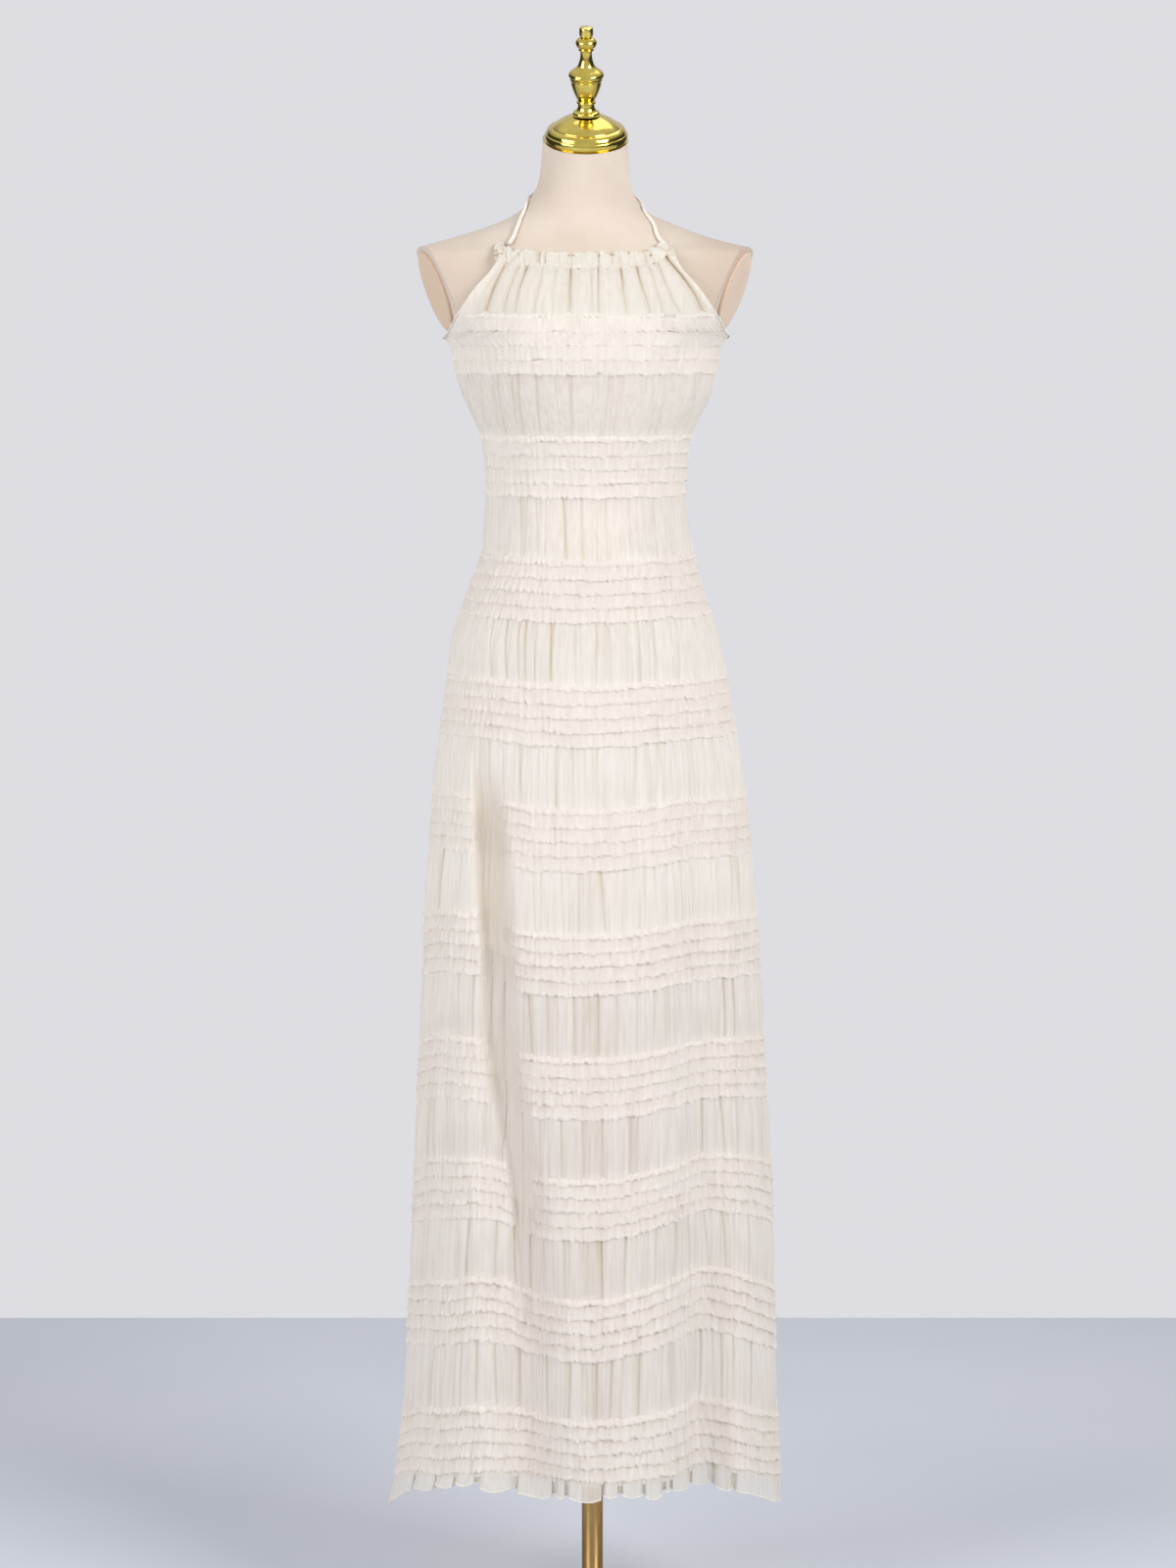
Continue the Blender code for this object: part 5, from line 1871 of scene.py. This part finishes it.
@dataclass(frozen=True)
class ArmPlates:
    """The flat ovals where arms would start, each with a piping round its rim."""

    height: float = 1.527
    reach: Pair = (0.167, 0.162)
    tilt: float = math.radians(20)
    turn: float = math.radians(13)
    thick: float = 0.003
    deep: float = 0.051
    tall: float = 0.046
    dome: float = 0.0006  # how far the face's middle stands out
    cord: float = 0.0011  # the piping's radius
    gap: float = 0.0003

    def frame(self, side: int) -> Matrix:
        """The plate's plane: its origin in the middle, and its X axis facing outwards.

        Args:
            side: -1 for the left plate, 1 for the right one.

        Returns:
            The plane's place.
        """
        reach = self.reach[0 if side < 0 else 1]
        middle = Matrix.Translation((TORSO.centre_x + side * reach, 0, self.height))
        facing = Matrix.Rotation(0 if side > 0 else math.pi, 4, "Z")
        return middle @ Euler((0, side * self.tilt, side * -self.turn)).to_matrix().to_4x4() @ facing

    def slab(self, side: int) -> Patch:
        """The plate: an oval carried from its back over a rounded rim to its face.

        Args:
            side: -1 for the left plate, 1 for the right one.

        Returns:
            The plate's grid.
        """
        turn = np.linspace(0, 2 * math.pi, 96, endpoint=False)[None, :]
        t = self.thick
        rim = np.array(
            [
                (-0.6e-3, 0), (-0.2e-3, 0.3e-3), (0, 0.9e-3),
                (0, t - 0.9e-3), (-0.3e-3, t - 0.3e-3), (-0.9e-3, t),
            ]
        )
        inset, out = rim[:, :1], rim[:, 1:]
        face = np.array([[0.9], [0.6], [0.3], [0]])
        y = np.concatenate([(self.deep + inset) * np.cos(turn), self.deep * face * np.cos(turn)])
        z = np.concatenate([(self.tall + inset) * np.sin(turn), self.tall * face * np.sin(turn)])
        rise = np.concatenate([out, t + self.dome * np.array([[0.3], [0.7], [0.95], [1.0]])])
        points = placed(self.frame(side), rise + self.gap, y, z)
        # The left plate gets full painted shade, the right one none.
        return Patch(points, y, z, 1.0 if side < 0 else 0.0, closed=True)

    def piping(self, side: int) -> Patch:
        """The cord sewn round the plate's rim.

        Args:
            side: -1 for the left plate, 1 for the right one.

        Returns:
            The cord's grid.
        """
        turn = np.linspace(0, 2 * math.pi, 97)
        y, z = (self.deep - 0.0004) * np.cos(turn), (self.tall - 0.0004) * np.sin(turn)
        return tube(placed(self.frame(side), 0.0006, y, z), self.cord, sides=8)

    def build(self, finishes: Finishes) -> None:
        """Makes both plates and their pipings.

        Args:
            finishes: the finishes.
        """
        for side, word in SIDES:
            stands_for = (f"arm_plate_{word}",)
            add_piece(f"plate_{word}", [self.slab(side)], finishes.plate, stands_for, True, 40, True)
            add_piece(f"plate_piping_{word}", [self.piping(side)], finishes.piping, (), True)


@dataclass(frozen=True)
class Torso:
    """The form's padded, covered torso, cut flat at the arms and the neck."""

    plates: ArmPlates = ArmPlates()
    columns: int = 160
    bottom: float = 0.930
    rounding: float = 0.006
    # Top, bottom and number of lines of each stretch above the lower rim.
    stretches: Table = ((1.735, 1.61, 22), (1.608, 1.55, 34), (1.545, 0.94, 118))

    def build(self, finishes: Finishes) -> Piece:
        """Makes the torso: the figure's surface, its lower rim, and three flat cuts.

        The rim turns in at the bottom and comes up again by its rounding, hidden by the skirt.

        Args:
            finishes: the finishes.

        Returns:
            The torso's piece.
        """
        turn = np.linspace(0, math.pi / 2, 6)
        low = self.bottom + self.rounding * (1 - np.sin(turn[::-1]))
        low_out = -self.rounding * (1 - np.cos(turn[::-1]))
        heights = np.concatenate([*(np.linspace(*stretch) for stretch in self.stretches), low])
        out = np.concatenate([np.zeros(len(heights) - len(low)), low_out])
        angle = np.linspace(0, 2 * math.pi, self.columns, endpoint=False)
        points = TORSO.wrap(angle[None, :], heights[:, None], out[:, None])
        # Painted shade over the shoulders, less of it on the left one: the cover's shade colour is blended in
        # there.
        painted_shoulder_shade = np.where(points[..., 0] < 0, 0.42, 1.0) * smooth_step(np.abs(points[..., 0]), 0.06, 0.16)
        painted_shoulder_shade = painted_shoulder_shade * smooth_step(points[..., 2], 1.45, 1.52)
        patch = Patch(points, angle * 0.13, -heights[:, None], painted_shoulder_shade, closed=True)
        piece = add_piece("torso", [patch], finishes.cover, ("form_torso",))
        self.cut(piece)
        return piece

    def cut(self, piece: Piece) -> None:
        """Closes the torso's ends and cuts it flat at the arms and the neck.

        Args:
            piece: the torso.
        """
        body = bmesh.new()
        body.from_mesh(piece.data)
        planes = []
        for side in (-1, 1):
            frame = self.plates.frame(side)
            planes.append((frame.translation, frame.to_3x3() @ Vector((1, 0, 0))))
        planes.append((NECK_TOP, Euler((NECK_TILT, 0, 0)).to_matrix() @ Vector((0, 0, 1))))
        bmesh.ops.holes_fill(body, edges=[edge for edge in body.edges if edge.is_boundary])
        for place, facing in planes:
            everything = body.verts[:] + body.edges[:] + body.faces[:]
            bmesh.ops.bisect_plane(body, geom=everything, plane_co=place, plane_no=facing, clear_outer=True)
            bmesh.ops.holes_fill(body, edges=[edge for edge in body.edges if edge.is_boundary])
        bmesh.ops.recalc_face_normals(body, faces=body.faces)
        body.to_mesh(piece.data)
        body.free()
        piece.data.shade_smooth()
        piece.data.set_sharp_from_angle(angle=math.radians(40))


@dataclass(frozen=True)
class NeckFittings:
    """The polished cap on the neck and its turned finial, both along the tilted neck."""

    gap: float = 0.0003
    rim: float = 0.0045  # from the cap's underside up to its rim
    cap: Profile = (
        (
            (0.0, 0.0247), (0.0150, 0.0242), (0.0190, 0.0231),
            (0.0250, 0.0206), (0.0318, 0.0167), (0.0368, 0.0126),
        ),
        ((0.0373, 0.0118), (0.0381, 0.0118)),
        ((0.0408, 0.0108), (0.0430, 0.0086), (0.0440, 0.0065), (0.0444, 0.0052)),
        ((0.0456, 0.0040), (0.0462, 0.0010), (0.0456, -0.0024), (0.0444, -0.0038)),
        ((0.0430, -0.0045), (0.0, -0.0045)),
    )
    finial: Profile = (
        ((0.0, 0.1245), (0.0040, 0.1243), (0.0068, 0.1234), (0.0076, 0.1216)),
        ((0.0077, 0.1180), (0.0074, 0.1146), (0.0056, 0.1128)),
        ((0.0088, 0.1112), (0.0112, 0.1084), (0.0117, 0.1058), (0.0104, 0.1022), (0.0078, 0.1000)),
        ((0.0085, 0.0992), (0.0083, 0.0980), (0.0066, 0.0972)),
        ((0.0064, 0.0930), (0.0070, 0.0880), (0.0086, 0.0825)),
        ((0.0100, 0.0800), (0.0130, 0.0772), (0.0168, 0.0745), (0.0190, 0.0722), (0.0197, 0.0700)),
        ((0.0190, 0.0682), (0.0178, 0.0672)),
        ((0.0180, 0.0655), (0.0172, 0.0640)),
        ((0.0165, 0.0590), (0.0143, 0.0518), (0.0117, 0.0456), (0.0092, 0.0412)),
        ((0.0104, 0.0402), (0.0104, 0.0384), (0.0090, 0.0374)),
        ((0.0092, 0.0345), (0.0104, 0.0315), (0.0120, 0.0296)),
        ((0.0142, 0.0284), (0.0148, 0.0266), (0.0146, 0.0254), (0.0, 0.0250)),
    )

    def build(self, finishes: Finishes) -> None:
        """Makes the cap and the finial, turned on the neck's tilted axis.

        Args:
            finishes: the finishes.
        """
        turn = Euler((NECK_TILT, 0, 0)).to_matrix()
        for name, runs, lift, node, steps, fine in (
            ("cap", self.cap, self.gap, "neck_cap", 96, 6),
            ("turned_finial", self.finial, 2 * self.gap, "finial", 80, 5),
        ):
            place = Matrix.Translation(NECK_TOP + turn @ Vector((0, 0, self.rim + lift))) @ turn.to_4x4()
            patch = turned(runs, place, steps, fine)
            add_piece(name, [patch], finishes.gold, (node,), True, 32)


@dataclass(frozen=True)
class Stand:
    """The pole, its collar under the form, and the round base."""

    pole_radius: float = 0.0122
    pole_bevel: float = 0.0006
    collar_radius: float = 0.030
    collar_height: float = 0.034
    base_radius: float = 0.170
    base_edge: float = 0.008
    hub_radius: float = 0.032
    hub_top: float = 0.034
    bevel: float = 0.001
    form_bottom: float = 0.930
    gap: float = 0.0003

    def build(self, finishes: Finishes) -> None:
        """Makes the three turned pieces.

        Args:
            finishes: the finishes.
        """
        top, bottom = self.form_bottom - self.gap, self.hub_top + self.gap
        r, bevel = self.pole_radius, self.pole_bevel
        pole = (
            ((0.0, top), (r - bevel, top), (r, top - bevel)),
            ((r, bottom + bevel),),
            ((r - bevel, bottom), (0.0, bottom)),
        )
        c, h, inside, bevel = self.collar_radius, self.collar_height, r + self.gap, self.bevel
        collar = (
            ((inside, top), (c - bevel, top), (c, top - bevel)),
            ((c, top - h * 0.4),),
            ((c * 0.9, top - h * 0.52), (c * 0.72, top - h * 0.85), (c * 0.65, top - h)),
            ((inside, top - h),),
            ((inside, top),),
        )
        e, b, hub, peak = self.base_edge, self.base_radius, self.hub_radius, self.hub_top
        disc = (
            ((0.0, peak), (hub * 0.55, peak), (hub * 0.62, peak - bevel)),
            ((hub * 0.70, peak * 0.80), (hub, e * 1.95), (hub * 1.5, e * 1.62)),
            ((b * 0.55, e * 1.32), (b * 0.85, e * 1.12), (b - 0.002, e)),
            ((b - 0.0005, e - 0.0006), (b, e - 0.002)),
            ((b, bevel), (b - bevel, 0.0)),
            ((0.0, 0.0),),
        )
        for name, runs, steps, fine, finish, node in (
            ("stand_pole", pole, 64, 2, finishes.pole, "pole"),
            ("stand_collar", collar, 64, 4, finishes.pole, "pole_collar"),
            ("stand_base", disc, 128, 4, finishes.base, "base"),
        ):
            patch = turned(runs, Matrix(), steps, fine)
            add_piece(name, [patch], finish, (node,), True, 35)


# --------------------------------------------------------------------------- the studio


@dataclass(frozen=True)
class Lamp:
    """A soft area light that looks at the dress."""

    name: str
    place: Row
    target: Row
    size: float
    power: float
    colour: Row = (1.0, 1.0, 1.0)

    def make(self) -> None:
        """Adds the light."""
        data = bpy.data.lights.new(self.name, "AREA")
        data.shape = "SQUARE"
        data.size = self.size
        data.energy = self.power
        data.color = self.colour
        lamp = linked(self.name, data)
        lamp.location = self.place
        lamp.rotation_euler = (Vector(self.place) - Vector(self.target)).to_track_quat("Z", "Y").to_euler()


@dataclass(frozen=True)
class Studio:
    """The camera, a plain pale floor, and soft light from the front and the upper right."""

    eye: Row = (-0.005, -4.4, 1.47)
    pitch: float = math.radians(90 - 6.42)
    lens: float = 90.0
    sensor: float = 36.0
    floor_near: float = -6.0
    floor_far: float = 1.42
    floor_side: float = 6.0
    horizon: Row = display(221, 221, 226)
    lamps: tuple[Lamp, ...] = (
        Lamp("key", (2.85, -2.85, 3.05), (0, 0, 1.2), 2.0, 146, (1.0, 0.987, 0.972)),
        Lamp("fill", (-3.2, -2.6, 2.5), (0, 0, 1.05), 2.4, 112, (1.0, 0.992, 0.985)),
        Lamp("top", (0.4, 0.6, 3.6), (0, 0, 1.0), 1.6, 10),
    )

    def add_camera(self) -> None:
        """The camera at the viewing height, pitched down a little."""
        data = bpy.data.cameras.new("camera")
        data.sensor_fit = "VERTICAL"
        data.sensor_height = self.sensor
        data.lens = self.lens
        data.clip_end = 60
        camera = linked("camera", data)
        camera.location = self.eye
        camera.rotation_euler = (self.pitch, 0, 0)
        bpy.context.scene.camera = camera

    def add_floor(self) -> None:
        """A flat pale floor that ends at the back of the studio."""
        mesh = bpy.data.meshes.new("floor")
        s, near, far = self.floor_side, self.floor_near, self.floor_far
        mesh.from_pydata([(-s, near, 0), (s, near, 0), (s, far, 0), (-s, far, 0)], [], [(0, 1, 2, 3)])
        mesh.materials.append(StudioFloor().make())
        floor = linked("floor", mesh)

    def ramped_light(self, g: Graph, operation: str, *ramps: tuple[Socket, Row]) -> Node:
        """A background whose strength joins two ramps.

        Args:
            g: the world's nodes.
            operation: how the two are joined.
            ramps: each with what it reads, the ends of its range and the values there.

        Returns:
            The background.
        """
        first, second = (g.ranged(source, *limits) for source, limits in ramps)
        return g.add("Background", {"Color": self.horizon, "Strength": g.maths(operation, first, second)})

    def add_world(self) -> None:
        """A pale room: darker overhead and behind the camera, and dark flags that metal mirrors.

        What lights the cloth falls off with height and towards the camera. Mirrored rays see
        dark sides and a bright ceiling instead, as a polished piece does between two flags.
        """
        g = Graph(bpy.data.worlds.new("studio"), "OutputWorld")
        parts = g.add("SeparateXYZ", {0: g.place.outputs["Generated"]}).outputs
        side = g.add("Math", {0: parts["X"]}, operation="ABSOLUTE").outputs["Value"]
        room = self.ramped_light(
            g, "MULTIPLY", (parts["Z"], (0.25, 0.9, 1.0, 0.35)), (parts["Y"], (-0.85, 0.1, 0.65, 1.0))
        )
        flags = self.ramped_light(
            g, "MAXIMUM", (side, (0.42, 0.66, 0.85, 0.06)), (parts["Z"], (0.30, 0.75, 0.0, 0.95))
        )
        glossy = g.add("LightPath").outputs["Is Glossy Ray"]
        bpy.context.scene.world = g.done(g.mixed(glossy, room, flags))

    def build(self) -> None:
        """Makes the camera, floor, world and lights."""
        self.add_camera()
        self.add_floor()
        self.add_world()
        for lamp in self.lamps:
            lamp.make()
        view = bpy.context.scene.view_settings
        view.view_transform = "Standard"
        view.look = "None"


def report_size() -> None:
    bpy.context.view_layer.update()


def main() -> None:
    """Builds the pieces in order round the fixed frame."""
    logging.basicConfig(level=logging.INFO, format="%(name)s %(message)s")
    for existing in list(bpy.data.objects):
        bpy.data.objects.remove(existing, do_unlink=True)
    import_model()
    Studio().build()
    finishes = Finishes()
    Torso().build(finishes)
    ArmPlates().build(finishes)
    NeckFittings().build(finishes)
    Stand().build(finishes)
    body = BodyCloth().build(finishes)
    frills = FrillRows().build(finishes)
    yoke = Yoke().build(finishes)
    casing = NeckCasing().build(finishes)
    Straps().build(finishes)
    flounces = HemFrill().build(finishes)
    Edges().build(finishes)
    report_size()


if __name__ == "__main__":
    main()
